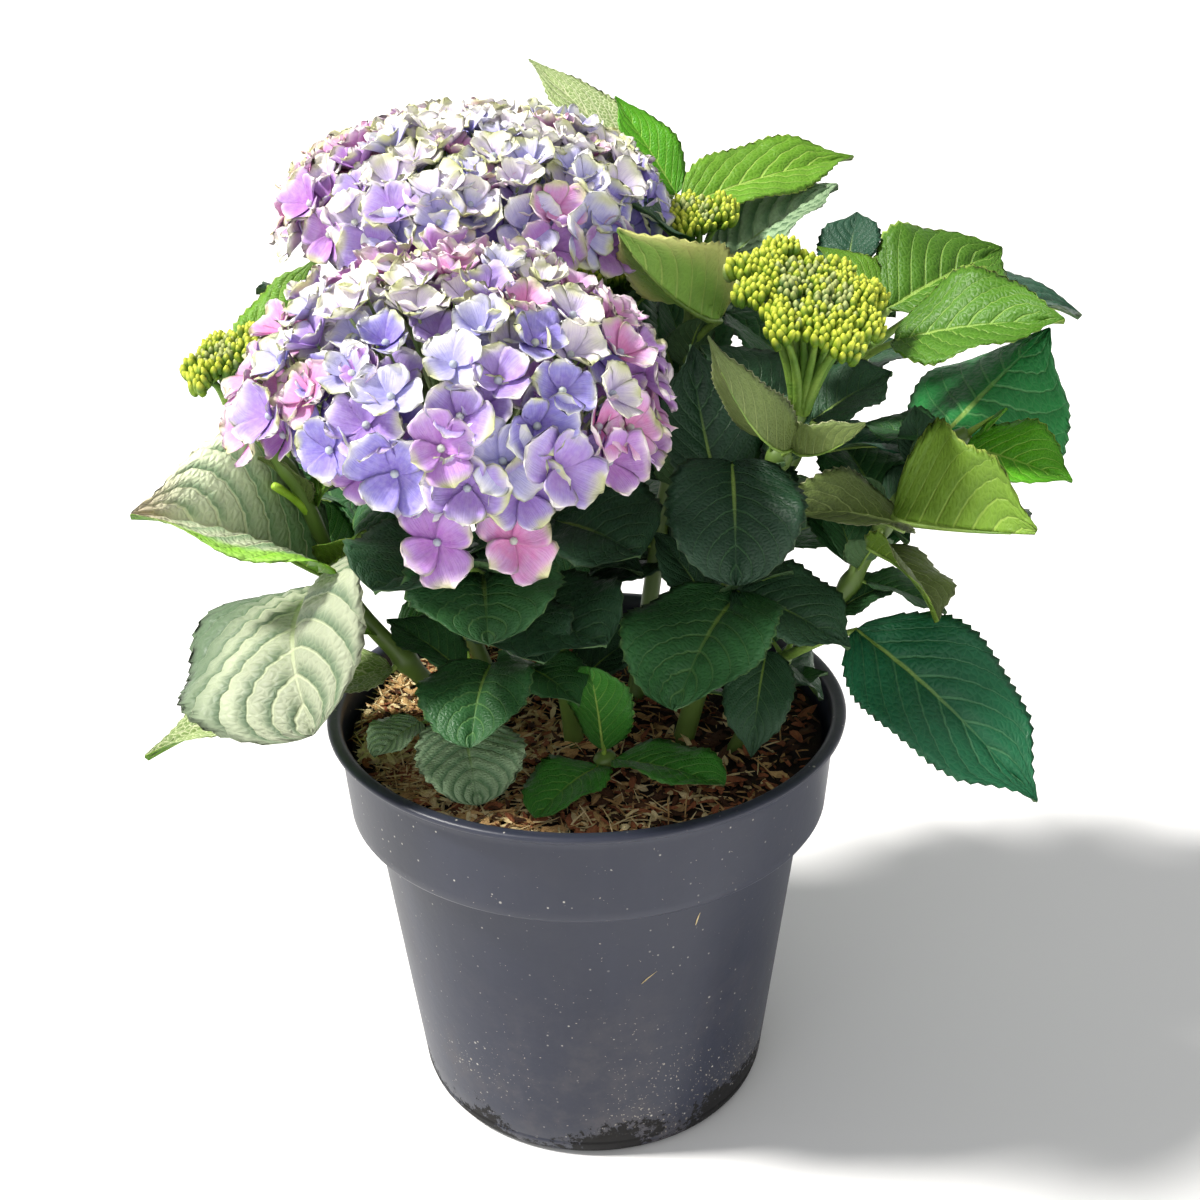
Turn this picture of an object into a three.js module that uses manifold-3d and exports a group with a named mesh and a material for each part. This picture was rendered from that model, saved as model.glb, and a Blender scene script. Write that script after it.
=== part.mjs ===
import * as THREE from 'three';
import { mergeVertices } from 'three/addons/utils/BufferGeometryUtils.js';
import Module from 'manifold-3d';

const wasm = await Module();
wasm.setup();

// Sizes are in millimetres and degrees, +Z up, the origin at the centre of the pot's foot.
const GAP = 0.3;
const POT_SIDES = 36;
const POT_HEIGHT = 232.5;
const POT_LIP_RADIUS = 140;
const POT_COLLAR_TOP_RADIUS = 134.4;
const POT_COLLAR_FOOT_RADIUS = 130.9;
const POT_COLLAR_DEPTH = 54.7;
const POT_WALL_TOP_RADIUS = 119.2;
const POT_FOOT_RADIUS = 99.4;
const POT_FOOT_ROUND = 9;
const POT_WALL = 2.2;
const POT_FLOOR = 3;
const MIX_TOP = 219;
const MIX_BUMP = 1.6;

const STEM_SIDES = 6;
const LEAF_STATIONS = [0.14, 0.42, 0.76];
const LEAF_THICKNESS_SHARE = 0.012;
const PETIOLE_RADIUS = 2.1;
const FLORET_CUP = 0.2;

// The two open flower heads: a dome of florets, its half width and half height.
const HEADS = {
  front: { centre: [-55, -84, 428], across: 97, up: 68, down: 56, count: 48, floret: 20, polar: 107, seed: 3 },
  rear: { centre: [-54, 77, 482], across: 104, up: 50, down: 46, count: 46, floret: 20.5, polar: 99, seed: 8 },
};
// Florets that hang below the front head's edge.
const HANGING = [
  { turn: -94, polar: 127, out: 1.0 },
  { turn: -68, polar: 131, out: 1.0 },
];

// The flat-topped heads of closed buds: radius, tilt of the top and the buds' size.
const BUD_HEADS = {
  tall: { radius: 42, rise: 62, lean: 27, leanTurn: -62, rings: 2, bud: 7.6, seed: 21 },
  back: { radius: 22, rise: 32, lean: 14, leanTurn: -70, rings: 1, bud: 7.2, seed: 22 },
  left: { radius: 24, rise: 26, lean: 22, leanTurn: -150, rings: 1, bud: 7.6, seed: 23 },
  northwest: { radius: 20, rise: 24, lean: 10, leanTurn: 120, rings: 1, bud: 7, seed: 24 },
  north: { radius: 24, rise: 26, lean: 12, leanTurn: 80, rings: 1, bud: 7.6, seed: 25 },
};

function rad(degrees) {
  return degrees * Math.PI / 180;
}

function vec(list) {
  return new THREE.Vector3(list[0], list[1], list[2]);
}

// A repeatable number from 0 to 1.
function chance(a, b) {
  const value = Math.sin(a * 12.9898 + b * 78.233) * 43758.5453;
  return value - Math.floor(value);
}

function direction(turn, rise) {
  const flat = Math.cos(rad(rise));
  return new THREE.Vector3(flat * Math.cos(rad(turn)), flat * Math.sin(rad(turn)), Math.sin(rad(rise)));
}

// One leaf: where it leaves the stem (height z), where it points, its reach and its width.
function leaf(z, turn, rise, reach, wide, more = {}) {
  const base = { z, turn, rise, reach, wide, stalk: 0.14, lift: 12, swing: 0, arch: 38, roll: 0, fold: 16, cup: 0.1 };
  return Object.assign(base, more);
}

// Leaves in crossed pairs up a stem, for the shoots at the back.
function pairs(seed, low, high, count, turn, reach, rise) {
  const leaves = [];
  for (let i = 0; i < count; i += 1) {
    const share = count > 1 ? i / (count - 1) : 0;
    for (let side = 0; side < 2; side += 1) {
      const k = i * 2 + side;
      const wobble = 22 * (chance(seed, k) - 0.5);
      const long = reach * (1 - 0.28 * share) * (0.9 + 0.2 * chance(seed + 5, k));
      const climb = rise + 34 * share + 14 * (chance(seed + 9, k) - 0.5);
      const z = low + (high - low) * share;
      leaves.push(leaf(z, turn + 90 * i + 180 * side + wobble, climb, long, long * 0.62, {
        arch: 34 + 30 * chance(seed + 13, k),
        roll: 30 * (chance(seed + 17, k) - 0.5),
      }));
    }
  }
  return leaves;
}

// Each shoot: the way its stem takes, its thickness, the height where its leaves begin, and its leaves.
const SHOOTS = {
  left: {
    path: [[-60, 8, 206], [-93, 2, 250], [-126, -2, 300], [-144, -14, 366], [-168, -27, 412]],
    foot: 5.6, tip: 3.4, bare: 244,
    leaves: [
      leaf(256, -153, -8, 144, 66, { stalk: 0.06, lift: -2, swing: 13, arch: 26, fold: 16, roll: 0 }),
      leaf(256, 46, 14, 84, 52, { arch: 40 }),
      leaf(300, -91, -13, 113, 132, { stalk: 0.14, lift: 40, swing: -43, arch: 84, fold: 18, cup: 0.14, roll: -34 }),
      leaf(300, 92, 8, 96, 58),
      leaf(318, -147, 26, 110, 112, { stalk: 0.09, lift: -40, swing: 42, arch: 44, fold: 36, roll: 28 }),
      leaf(318, 30, -2, 66, 40, { roll: 40 }),
      leaf(372, 92, 34, 84, 50),
      leaf(400, 52, 52, 90, 40, { stalk: 0.24, lift: -11, swing: 53, arch: -12, roll: -30 }),
    ],
  },
  front: {
    path: [[-6, -22, 206], [-12, -34, 270], [-24, -52, 330], [-46, -74, 366]],
    foot: 5.4, tip: 4.4, bare: 262,
    leaves: [
      leaf(290, -133, 29, 130, 84, { stalk: 0.55, lift: 18, swing: -8, arch: 44, roll: 0 }),
      leaf(292, -71, 20, 86, 76, { stalk: 0.54, lift: 10, swing: -50, arch: 40, roll: -8 }),
      leaf(306, -102, 17, 114, 74, { stalk: 0.61, lift: 19, swing: -18, arch: 52, roll: 0 }),
      leaf(284, -92, 21, 95, 56, { stalk: 0.68, lift: 16, swing: -36, arch: 36, roll: 0 }),
      leaf(330, -26, 18, 61, 80, { stalk: 0.46, lift: 45, swing: 54, arch: 36, roll: -10 }),
    ],
  },
  rear: {
    path: [[-14, 34, 206], [-24, 46, 280], [-40, 60, 360], [-52, 70, 424]],
    foot: 5.6, tip: 4.6, bare: 300,
    leaves: [
      leaf(330, 176, 12, 118, 72, { arch: 34 }),
      leaf(330, 84, 14, 118, 74, { arch: 40 }),
      leaf(376, 178, 22, 126, 66, { arch: 44 }),
      leaf(384, 112, 12, 128, 78, { arch: 46 }),
      leaf(384, 40, 6, 84, 54, { arch: 36 }),
    ],
  },
  tall: {
    path: [[50, -18, 206], [62, -24, 262], [79, -30, 325], [93, -30, 368], [106, -26, 400]],
    foot: 5.8, tip: 4.6, bare: 280,
    leaves: [
      leaf(300, -109, -8, 94, 82, { stalk: 0.25, lift: 45, swing: 35, arch: 40, roll: -6 }),
      leaf(296, -40, 1, 76, 58, { stalk: 0.34, lift: 47, swing: -34, arch: 34, roll: -10 }),
      leaf(344, -101, 1, 77, 66, { stalk: 0.69, lift: 54, swing: -15, arch: 60, roll: 0 }),
      leaf(340, 88, 0, 88, 56, { arch: 36 }),
      leaf(348, 165, 69, 93, 62, { stalk: 0.31, lift: -35, swing: 55, arch: -14, roll: 0 }),
      leaf(380, -117, 42, 125, 38, { stalk: 0.19, lift: -14, swing: 33, arch: -64, fold: 44, roll: -24 }),
      leaf(378, -66, 29, 84, 34, { stalk: 0.27, lift: 2, swing: -10, arch: -44, fold: 40, roll: 24 }),
      leaf(390, 140, 33, 65, 54, { stalk: 0.21, lift: -31, swing: -47, arch: 20, roll: 10 }),
      leaf(390, 20, 24, 61, 52, { stalk: 0.28, lift: -12, swing: 22, arch: 24, roll: -14 }),
    ],
  },
  back: {
    path: [[26, 26, 206], [40, 44, 300], [56, 60, 390], [62, 67, 450]],
    foot: 5.2, tip: 3.6, bare: 330,
    leaves: [
      leaf(366, -86, 18, 74, 50, { arch: 34 }),
      leaf(372, 96, 18, 132, 80, { arch: 42 }),
      leaf(404, -58, 49, 81, 46, { stalk: 0.5, lift: 22, swing: -5, arch: 34, roll: 0 }),
      leaf(410, -119, 44, 112, 66, { stalk: 0.3, lift: -6, swing: 61, arch: -46, fold: 34, roll: -30 }),
      leaf(420, -129, 55, 89, 36, { stalk: 0.56, lift: 11, swing: 29, arch: 22, roll: 20 }),
      leaf(430, 26, 32, 105, 66, { stalk: 0.26, lift: 3, swing: 34, arch: 22, roll: -10 }),
      leaf(438, 36, 27, 127, 52, { stalk: 0.41, lift: 21, swing: 62, arch: 22, roll: -26 }),
      leaf(436, 125, 35, 188, 34, { stalk: 0.37, lift: -1, swing: -26, arch: 14, roll: 30 }),
      leaf(438, 119, 48, 123, 32, { stalk: 0.51, lift: -5, swing: -20, arch: 10, roll: 24 }),
    ],
  },
  right: {
    path: [[78, 6, 206], [106, 0, 246], [138, 0, 294], [156, 0, 330], [182, 2, 368], [196, 0, 380]],
    foot: 5.2, tip: 2.8, bare: 278,
    leaves: [
      leaf(296, 73, 16, 104, 64, { arch: 40 }),
      leaf(300, -20, -14, 52, 34, { arch: 30 }),
      leaf(328, -80, -10, 84, 48, { stalk: 0.38, lift: 16, swing: -31, arch: 50, fold: 22, roll: 30 }),
      leaf(332, 106, 20, 76, 50, { arch: 34 }),
      leaf(340, -139, 12, 104, 44, { stalk: 0.15, lift: -40, swing: 59, arch: 44, fold: 30, roll: 26 }),
      leaf(346, -55, 6, 87, 104, { stalk: 0.24, lift: -15, swing: -60, arch: -10, fold: 46, roll: 52 }),
      leaf(372, 44, 26, 100, 104, { stalk: 0.07, lift: 17, swing: 75, arch: 14, fold: -30, roll: -15 }),
      leaf(374, -44, -3, 68, 46, { stalk: 0.16, lift: 13, swing: -18, arch: 18, roll: -28 }),
      leaf(378, -25, 41, 27, 14, { stalk: 0.25, lift: -45, swing: -16, arch: 6, roll: 0 }),
      leaf(372, 144, 4, 48, 36, { stalk: 0.12, lift: 29, swing: 7, arch: 16, roll: 10 }),
    ],
  },
  high: {
    path: [[58, 34, 206], [88, 42, 300], [122, 36, 376], [144, 24, 418]],
    foot: 5.2, tip: 2.8, bare: 310,
    leaves: [
      leaf(350, 70, 16, 116, 70, { arch: 42 }),
      leaf(356, -12, 4, 78, 48, { arch: 34 }),
      leaf(384, 130, 26, 84, 52, { arch: 34 }),
      leaf(404, -35, 21, 120, 66, { stalk: 0.35, lift: 15, swing: -22, arch: 26, roll: -26 }),
      leaf(408, 24, 3, 148, 64, { stalk: 0.37, lift: 25, swing: 4, arch: 40, roll: -16 }),
      leaf(412, 21, 30, 97, 72, { stalk: 0.32, lift: 31, swing: -35, arch: 22, roll: -24 }),
      leaf(414, 85, 52, 80, 36, { stalk: 0.57, lift: 2, swing: 12, arch: 20, roll: 10 }),
      leaf(414, 135, 61, 59, 28, { stalk: 0.53, lift: 0, swing: -132, arch: 10, roll: 16 }),
    ],
  },
  low: {
    path: [[74, -28, 206], [92, -28, 244], [104, -24, 268]],
    foot: 4.4, tip: 2.6, bare: 232,
    leaves: [
      leaf(267, -38, -14, 148, 74, { stalk: 0.3, lift: 46, swing: 13, arch: 36, fold: 12, roll: -24 }),
      leaf(250, -105, -18, 49, 38, { stalk: 0.54, lift: 93, swing: -1, arch: 44, roll: 0 }),
      leaf(252, 10, -22, 32, 42, { stalk: 0.53, lift: 74, swing: 50, arch: 30, roll: 0 }),
      leaf(266, 120, 30, 70, 44),
    ],
  },
  young: {
    path: [[9, -51, 206], [9, -52, 216], [9, -53, 227]],
    foot: 3.0, tip: 2.2, bare: 0,
    leaves: [
      leaf(225, -107, 72, 66, 36, { stalk: 0.08, arch: 14 }),
      leaf(224, -37, 8, 74, 40, { stalk: 0.1, arch: 22 }),
      leaf(222, -124, 0, 62, 40, { stalk: 0.1, arch: 30 }),
      leaf(226, 96, 46, 38, 22, { stalk: 0.1, arch: 20 }),
    ],
  },
  side: {
    path: [[-46, -26, 206], [-56, -34, 240], [-58, -42, 270]],
    foot: 4.0, tip: 2.4, bare: 0,
    leaves: [
      leaf(262, -87, 7, 83, 58, { stalk: 0.41, lift: 36, swing: 23, arch: 50, roll: -6 }),
      leaf(262, -39, 9, 72, 42, { stalk: 0.49, lift: 18, swing: 16, arch: 40, roll: 0 }),
      leaf(242, -87, -13, 67, 56, { stalk: 0.42, lift: 33, swing: -17, arch: 36, roll: 0 }),
      leaf(240, -152, -6, 60, 32, { stalk: 0.52, lift: 8, swing: -17, arch: 30, roll: 0 }),
      leaf(264, 150, 24, 58, 40, { arch: 30 }),
    ],
  },
  northwest: {
    path: [[-52, 48, 206], [-78, 74, 270], [-104, 96, 340], [-124, 112, 406]],
    foot: 5.2, tip: 3.2, bare: 262,
    leaves: pairs(31, 286, 396, 4, 148, 132, 2),
  },
  north: {
    path: [[2, 62, 206], [8, 100, 280], [12, 132, 350], [14, 150, 404]],
    foot: 5.2, tip: 3.2, bare: 262,
    leaves: pairs(41, 284, 394, 4, 62, 134, 0),
  },
  northeast: {
    path: [[54, 52, 206], [84, 84, 262], [110, 112, 318], [128, 132, 372]],
    foot: 5.0, tip: 2.6, bare: 256,
    leaves: pairs(52, 276, 370, 4, 30, 132, 0),
  },
};

// A closed solid through rings of points; a ring of one point closes that end.
function loft(rings) {
  const points = [];
  const faces = [];
  const starts = [];
  let sides = 1;
  for (const ring of rings) {
    starts.push(points.length / 3);
    sides = Math.max(sides, ring.length);
    for (const p of ring) points.push(p.x, p.y, p.z);
  }
  for (let k = 0; k + 1 < rings.length; k += 1) {
    const a = starts[k];
    const b = starts[k + 1];
    for (let j = 0; j < sides; j += 1) {
      const next = (j + 1) % sides;
      if (rings[k].length === 1) {
        faces.push(a, b + next, b + j);
      } else if (rings[k + 1].length === 1) {
        faces.push(a + j, a + next, b);
      } else {
        faces.push(a + j, a + next, b + next, a + j, b + next, b + j);
      }
    }
  }
  const last = rings.length - 1;
  for (let j = 1; j + 1 < sides; j += 1) {
    if (rings[0].length > 1) faces.push(starts[0], starts[0] + j + 1, starts[0] + j);
    if (rings[last].length > 1) faces.push(starts[last], starts[last] + j, starts[last] + j + 1);
  }
  const geometry = new THREE.BufferGeometry();
  geometry.setAttribute('position', new THREE.Float32BufferAttribute(points, 3));
  geometry.setIndex(faces);
  return geometry;
}

// A three.js geometry as a solid that can be cut and joined.
function toSolid(geometry) {
  const bare = new THREE.BufferGeometry();
  bare.setAttribute('position', geometry.getAttribute('position').clone());
  bare.setIndex(geometry.getIndex());
  const merged = mergeVertices(bare, 1e-4);
  const index = merged.getIndex().array;
  const kept = [];
  for (let i = 0; i < index.length; i += 3) {
    const [a, b, c] = [index[i], index[i + 1], index[i + 2]];
    if (a !== b && b !== c && c !== a) kept.push(a, b, c);
  }
  return new wasm.Manifold(new wasm.Mesh({
    numProp: 3,
    vertProperties: new Float32Array(merged.getAttribute('position').array),
    triVerts: new Uint32Array(kept),
  }));
}

// The largest closed shell of a solid as a geometry: loose scraps and sealed hollows go.
function toGeometry(solid) {
  const mesh = solid.getMesh();
  const verts = mesh.vertProperties;
  const tris = mesh.triVerts;
  const parent = new Int32Array(verts.length / 3).map((_, i) => i);
  function root(i) {
    let r = i;
    while (parent[r] !== r) r = parent[r];
    while (parent[i] !== r) [parent[i], i] = [r, parent[i]];
    return r;
  }
  for (let i = 0; i < tris.length; i += 3) {
    parent[root(tris[i])] = root(tris[i + 1]);
    parent[root(tris[i + 1])] = root(tris[i + 2]);
  }
  const volumes = new Map();
  const [a, b, c] = [new THREE.Vector3(), new THREE.Vector3(), new THREE.Vector3()];
  for (let i = 0; i < tris.length; i += 3) {
    a.fromArray(verts, tris[i] * 3);
    b.fromArray(verts, tris[i + 1] * 3);
    c.fromArray(verts, tris[i + 2] * 3);
    const key = root(tris[i]);
    volumes.set(key, (volumes.get(key) || 0) + a.dot(b.cross(c)) / 6);
  }
  const best = [...volumes.entries()].sort((p, q) => q[1] - p[1])[0][0];
  const positions = [];
  for (let i = 0; i < tris.length; i += 3) {
    if (root(tris[i]) !== best) continue;
    for (let j = 0; j < 3; j += 1) {
      const v = tris[i + j] * 3;
      positions.push(verts[v], verts[v + 1], verts[v + 2]);
    }
  }
  const geometry = new THREE.BufferGeometry();
  geometry.setAttribute('position', new THREE.Float32BufferAttribute(positions, 3));
  return mergeVertices(geometry, 1e-5);
}

function joined(solids) {
  let whole = solids[0];
  for (const solid of solids.slice(1)) whole = whole.add(solid);
  return whole;
}

// A ring of points around a tangent.
function ring(centre, tangent, radius, sides) {
  const x = new THREE.Vector3(1, 0, 0).addScaledVector(tangent, -tangent.x).normalize();
  const y = new THREE.Vector3().crossVectors(tangent, x);
  const points = [];
  for (let j = 0; j < sides; j += 1) {
    const angle = 2 * Math.PI * j / sides;
    points.push(centre.clone()
      .addScaledVector(x, radius * Math.cos(angle))
      .addScaledVector(y, radius * Math.sin(angle)));
  }
  return points;
}

function stemCurve(shoot) {
  return new THREE.CatmullRomCurve3(shoot.path.map(vec), false, 'centripetal');
}

function shareAt(curve, z) {
  let low = 0;
  let high = 1;
  for (let i = 0; i < 40; i += 1) {
    const middle = (low + high) / 2;
    if (curve.getPoint(middle).z < z) low = middle;
    else high = middle;
  }
  return (low + high) / 2;
}

// A stretch of stem from one share of its curve to another.
function stem(shoot, from, to, steps, grow) {
  const curve = stemCurve(shoot);
  const rings = [];
  for (let i = 0; i <= steps; i += 1) {
    const t = from + (to - from) * i / steps;
    const inside = Math.min(1, Math.max(0, t));
    const radius = shoot.foot + (shoot.tip - shoot.foot) * t + grow;
    const tangent = curve.getTangent(inside);
    const centre = curve.getPoint(inside).addScaledVector(tangent, (t - inside) * curve.getLength());
    rings.push(ring(centre, tangent, radius, STEM_SIDES));
  }
  return toSolid(loft(rings));
}

// Half the width of a blade at a share of its length: widest a little below the middle.
function outline(u) {
  return Math.pow(u, 0.62) * Math.pow(1 - u, 0.9) / 0.3579;
}

// The frame that a leaf is bent in: base, chord, upper face and side.
function leafFrame(shoot, item) {
  const node = stemCurve(shoot).getPoint(shareAt(stemCurve(shoot), item.z));
  const tip = node.clone().addScaledVector(direction(item.turn, item.rise), item.reach);
  const away = direction(item.turn + item.swing, item.rise + item.lift);
  const base = node.clone().addScaledVector(away, item.stalk * item.reach);
  const chord = tip.clone().sub(base);
  const length = chord.length();
  chord.normalize();
  const up = new THREE.Vector3(0, 0, 1).addScaledVector(chord, -chord.z).normalize();
  const side = new THREE.Vector3().crossVectors(up, chord);
  const face = up.clone().multiplyScalar(Math.cos(rad(item.roll))).addScaledVector(side, Math.sin(rad(item.roll)));
  side.crossVectors(face, chord);
  return { node, base, tip, chord, face, side, length };
}

// A point of the blade: u along the midrib, q across it from -1 to 1.
function bladePoint(frame, item, u, q, lift) {
  const bend = rad(item.arch === 0 ? 0.5 : item.arch);
  const radius = frame.length / (2 * Math.sin(bend / 2));
  const angle = bend * (u - 0.5);
  const along = radius * (Math.sin(angle) + Math.sin(bend / 2));
  const high = radius * (Math.cos(angle) - Math.cos(bend / 2));
  const normal = frame.face.clone().multiplyScalar(Math.cos(angle)).addScaledVector(frame.chord, Math.sin(angle));
  const half = item.wide / 2 * outline(u);
  const slope = rad(item.fold);
  const point = frame.base.clone().addScaledVector(frame.chord, along).addScaledVector(frame.face, high);
  point.addScaledVector(frame.side, q * half * Math.cos(slope));
  point.addScaledVector(normal, Math.abs(q) * half * Math.sin(slope) - item.cup * Math.min(1, q * q) * half + lift);
  return point;
}

// A ring of four points: along the side, up, back along the side, down.
function diamond(centre, tangent, side, halfWide, halfThick) {
  const x = side.clone().addScaledVector(tangent, -side.dot(tangent)).normalize();
  const y = new THREE.Vector3().crossVectors(tangent, x).negate();
  return [[x, halfWide], [y, -halfThick], [x, -halfWide], [y, halfThick]]
    .map(([way, size]) => centre.clone().addScaledVector(way, size));
}

// A leaf: its stalk runs into the blade, which is thickest at the midrib and sharp at the margin.
function leafSolid(shoot, item, grow) {
  const frame = leafFrame(shoot, item);
  const thick = Math.max(1.3, LEAF_THICKNESS_SHARE * frame.length) / 2 + 3 * grow;
  const into = bladePoint(frame, item, 0.03, 0, 0);
  const along = into.clone().sub(frame.node).normalize();
  const rings = [frame.node, into].map((p) => (
    diamond(p, along, frame.side, PETIOLE_RADIUS + grow, PETIOLE_RADIUS + grow)));
  for (const u of LEAF_STATIONS) {
    const edge = 1 + 8 * grow / (item.wide * outline(u));
    rings.push([[1, 0], [0, 1], [-1, 0], [0, -1]].map(([q, lift]) => (
      bladePoint(frame, item, u, q * edge, lift * thick))));
  }
  rings.push([frame.tip.clone().addScaledVector(frame.chord, 4 * grow)]);
  return toSolid(loft(rings));
}

// The leafy length of a shoot, from where its bare stem ends.
function foliage(shoot, grow) {
  const curve = stemCurve(shoot);
  const share = shoot.bare > 0 ? shareAt(curve, shoot.bare) : 0;
  const gap = shoot.bare > 0 ? (GAP - grow) / curve.getLength() : 0;
  const solids = [stem(shoot, share + gap, 1 + grow / curve.getLength(), 5, grow)];
  for (const item of shoot.leaves) solids.push(leafSolid(shoot, item, grow));
  return joined(solids);
}

function bareStem(shoot, grow) {
  const share = shareAt(stemCurve(shoot), shoot.bare);
  return stem(shoot, 0, share, 4, grow);
}

// One floret: a shallow cup with four points on a short cone.
function floret(centre, normal, spin, radius, depth, grow) {
  const x = new THREE.Vector3(Math.cos(spin), Math.sin(spin), 0.3).normalize();
  x.addScaledVector(normal, -x.dot(normal)).normalize();
  const y = new THREE.Vector3().crossVectors(normal, x);
  const rim = [0, 1, 2, 3].map((lobe) => centre.clone()
    .addScaledVector(x, (radius + 3 * grow) * Math.cos(rad(lobe * 90)))
    .addScaledVector(y, (radius + 3 * grow) * Math.sin(rad(lobe * 90)))
    .addScaledVector(normal, radius * FLORET_CUP + grow));
  const foot = centre.clone().addScaledVector(normal, -depth - 2 * grow);
  return toSolid(loft([[foot], rim, [centre.clone().addScaledVector(normal, 1 + grow)]]));
}

// Where a head's florets sit: an even spiral over the dome, each tipped a little.
function floretSeats(head) {
  const seats = [];
  const low = Math.cos(rad(head.polar));
  for (let k = 0; k < head.count; k += 1) {
    const height = 1 - (1 - low) * (k + 0.5) / head.count;
    const turn = 137.508 * k + 10 * (chance(head.seed, k) - 0.5);
    seats.push({ turn, height, out: 1 - 0.07 * chance(head.seed + 1, k), k });
  }
  return seats;
}

function headPoint(head, turn, height, out, inset) {
  const flat = Math.sqrt(Math.max(0, 1 - height * height));
  const vertical = height > 0 ? head.up : head.down;
  return new THREE.Vector3(
    (head.across * out - inset) * flat * Math.cos(rad(turn)),
    (head.across * out - inset) * flat * Math.sin(rad(turn)),
    (vertical * out - inset) * height,
  ).add(vec(head.centre));
}

function headNormal(head, turn, height) {
  const flat = Math.sqrt(Math.max(0, 1 - height * height));
  const vertical = height > 0 ? head.up : head.down;
  return new THREE.Vector3(
    flat * Math.cos(rad(turn)) / head.across,
    flat * Math.sin(rad(turn)) / head.across,
    height / vertical,
  ).normalize();
}

function flowerHead(head, hanging, shoot, grow) {
  const rings = [];
  const heights = [-0.85, -0.4, 0.15, 0.62, 0.9];
  const inset = 9 - grow;
  rings.push([headPoint(head, 0, -1, 1, inset)]);
  for (const height of heights) {
    rings.push([0, 1, 2, 3, 4, 5, 6, 7, 8].map((j) => headPoint(head, 40 * j, height, 1, inset)));
  }
  rings.push([headPoint(head, 0, 1, 1, inset)]);
  const solids = [toSolid(loft(rings))];
  for (const seat of floretSeats(head)) {
    const normal = headNormal(head, seat.turn, seat.height);
    normal.x += 0.24 * (chance(head.seed + 2, seat.k) - 0.5);
    normal.y += 0.24 * (chance(head.seed + 3, seat.k) - 0.5);
    normal.z += 0.1;
    const size = head.floret * (0.9 + 0.2 * chance(head.seed + 4, seat.k));
    const centre = headPoint(head, seat.turn, seat.height, seat.out, 5);
    solids.push(floret(centre, normal.normalize(), 6.28 * chance(head.seed + 5, seat.k), size, 12, grow));
  }
  for (const item of hanging) {
    const height = Math.cos(rad(item.polar));
    const centre = headPoint(head, item.turn, height, item.out, 4);
    const normal = headNormal(head, item.turn, height + 0.55);
    solids.push(floret(centre, normal, rad(item.turn), head.floret, 34, grow));
  }
  const curve = stemCurve(shoot);
  const top = curve.getPoint(1);
  const tangent = curve.getTangent(1);
  const start = top.clone().addScaledVector(tangent, GAP - grow);
  const end = vec(head.centre).addScaledVector(new THREE.Vector3(0, 0, 1), -0.5 * head.down);
  const reach = start.distanceTo(end) * 0.5;
  const bend = start.clone().addScaledVector(tangent, reach);
  solids.push(toSolid(loft([
    ring(start, tangent, shoot.tip + grow, STEM_SIDES),
    ring(bend, tangent, shoot.tip + grow, STEM_SIDES),
    ring(end, end.clone().sub(bend).normalize(), shoot.tip + grow, STEM_SIDES),
  ])));
  return joined(solids);
}

// Where a bud head's clusters sit on its tilted flat top.
function budSeats(head) {
  const seats = [{ share: 0, turn: 0 }];
  for (let r = 1; r <= head.rings; r += 1) {
    const count = r === 1 ? 6 : 12;
    for (let j = 0; j < count; j += 1) {
      seats.push({ share: r / head.rings, turn: 360 * j / count + 17 * r });
    }
  }
  return seats;
}

function budHead(head, shoot, grow) {
  const curve = stemCurve(shoot);
  const top = curve.getPoint(1);
  const tangent = curve.getTangent(1);
  const axis = direction(head.leanTurn, 90 - head.lean);
  const middle = top.clone().addScaledVector(tangent, head.rise * 0.2);
  middle.z += head.rise * 0.8;
  const x = new THREE.Vector3(1, 0, 0).addScaledVector(axis, -axis.x).normalize();
  const y = new THREE.Vector3().crossVectors(axis, x);
  const start = top.clone().addScaledVector(tangent, GAP - grow);
  const fork = top.clone().addScaledVector(tangent, head.rise * 0.22);
  const solids = [toSolid(loft([
    ring(start, tangent, shoot.tip + grow, STEM_SIDES),
    ring(fork, tangent, shoot.tip * 1.15 + grow, STEM_SIDES),
  ]))];
  for (const [k, seat] of budSeats(head).entries()) {
    const radius = head.bud * (0.92 + 0.16 * chance(head.seed, k));
    const out = (head.radius - head.bud * 0.75) * seat.share;
    const dome = 0.12 * head.radius * (1 - seat.share * seat.share);
    const centre = middle.clone()
      .addScaledVector(x, out * Math.cos(rad(seat.turn)))
      .addScaledVector(y, out * Math.sin(rad(seat.turn)))
      .addScaledVector(axis, dome + 1.5 * (chance(head.seed + 1, k) - 0.5));
    const ball = new THREE.OctahedronGeometry(1.16 * radius + grow, 0);
    ball.rotateZ(0.8 * k);
    ball.scale(1, 1, 0.78);
    ball.translate(centre.x, centre.y, centre.z);
    solids.push(toSolid(mergeVertices(plain(ball), 1e-3)));
  }
  // The fan of ribbed stalks under the buds.
  const under = middle.clone().addScaledVector(axis, -0.1 * head.bud);
  const fan = (centre, along, radius) => ring(centre, along, radius, 10).map((p, j) => (
    j % 2 === 0 ? p : p.clone().lerp(centre, 0.3)));
  solids.push(toSolid(loft([
    fan(fork.clone().addScaledVector(tangent, -3), tangent, shoot.tip * 0.9 + grow),
    fan(fork.clone().lerp(under, 0.5), axis, head.radius * 0.42 + grow),
    fan(under, axis, head.radius * 0.74 + grow),
  ])));
  return joined(solids);
}

function plain(geometry) {
  const bare = new THREE.BufferGeometry();
  bare.setAttribute('position', geometry.getAttribute('position').clone());
  return mergeVertices(bare, 1e-3);
}

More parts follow.
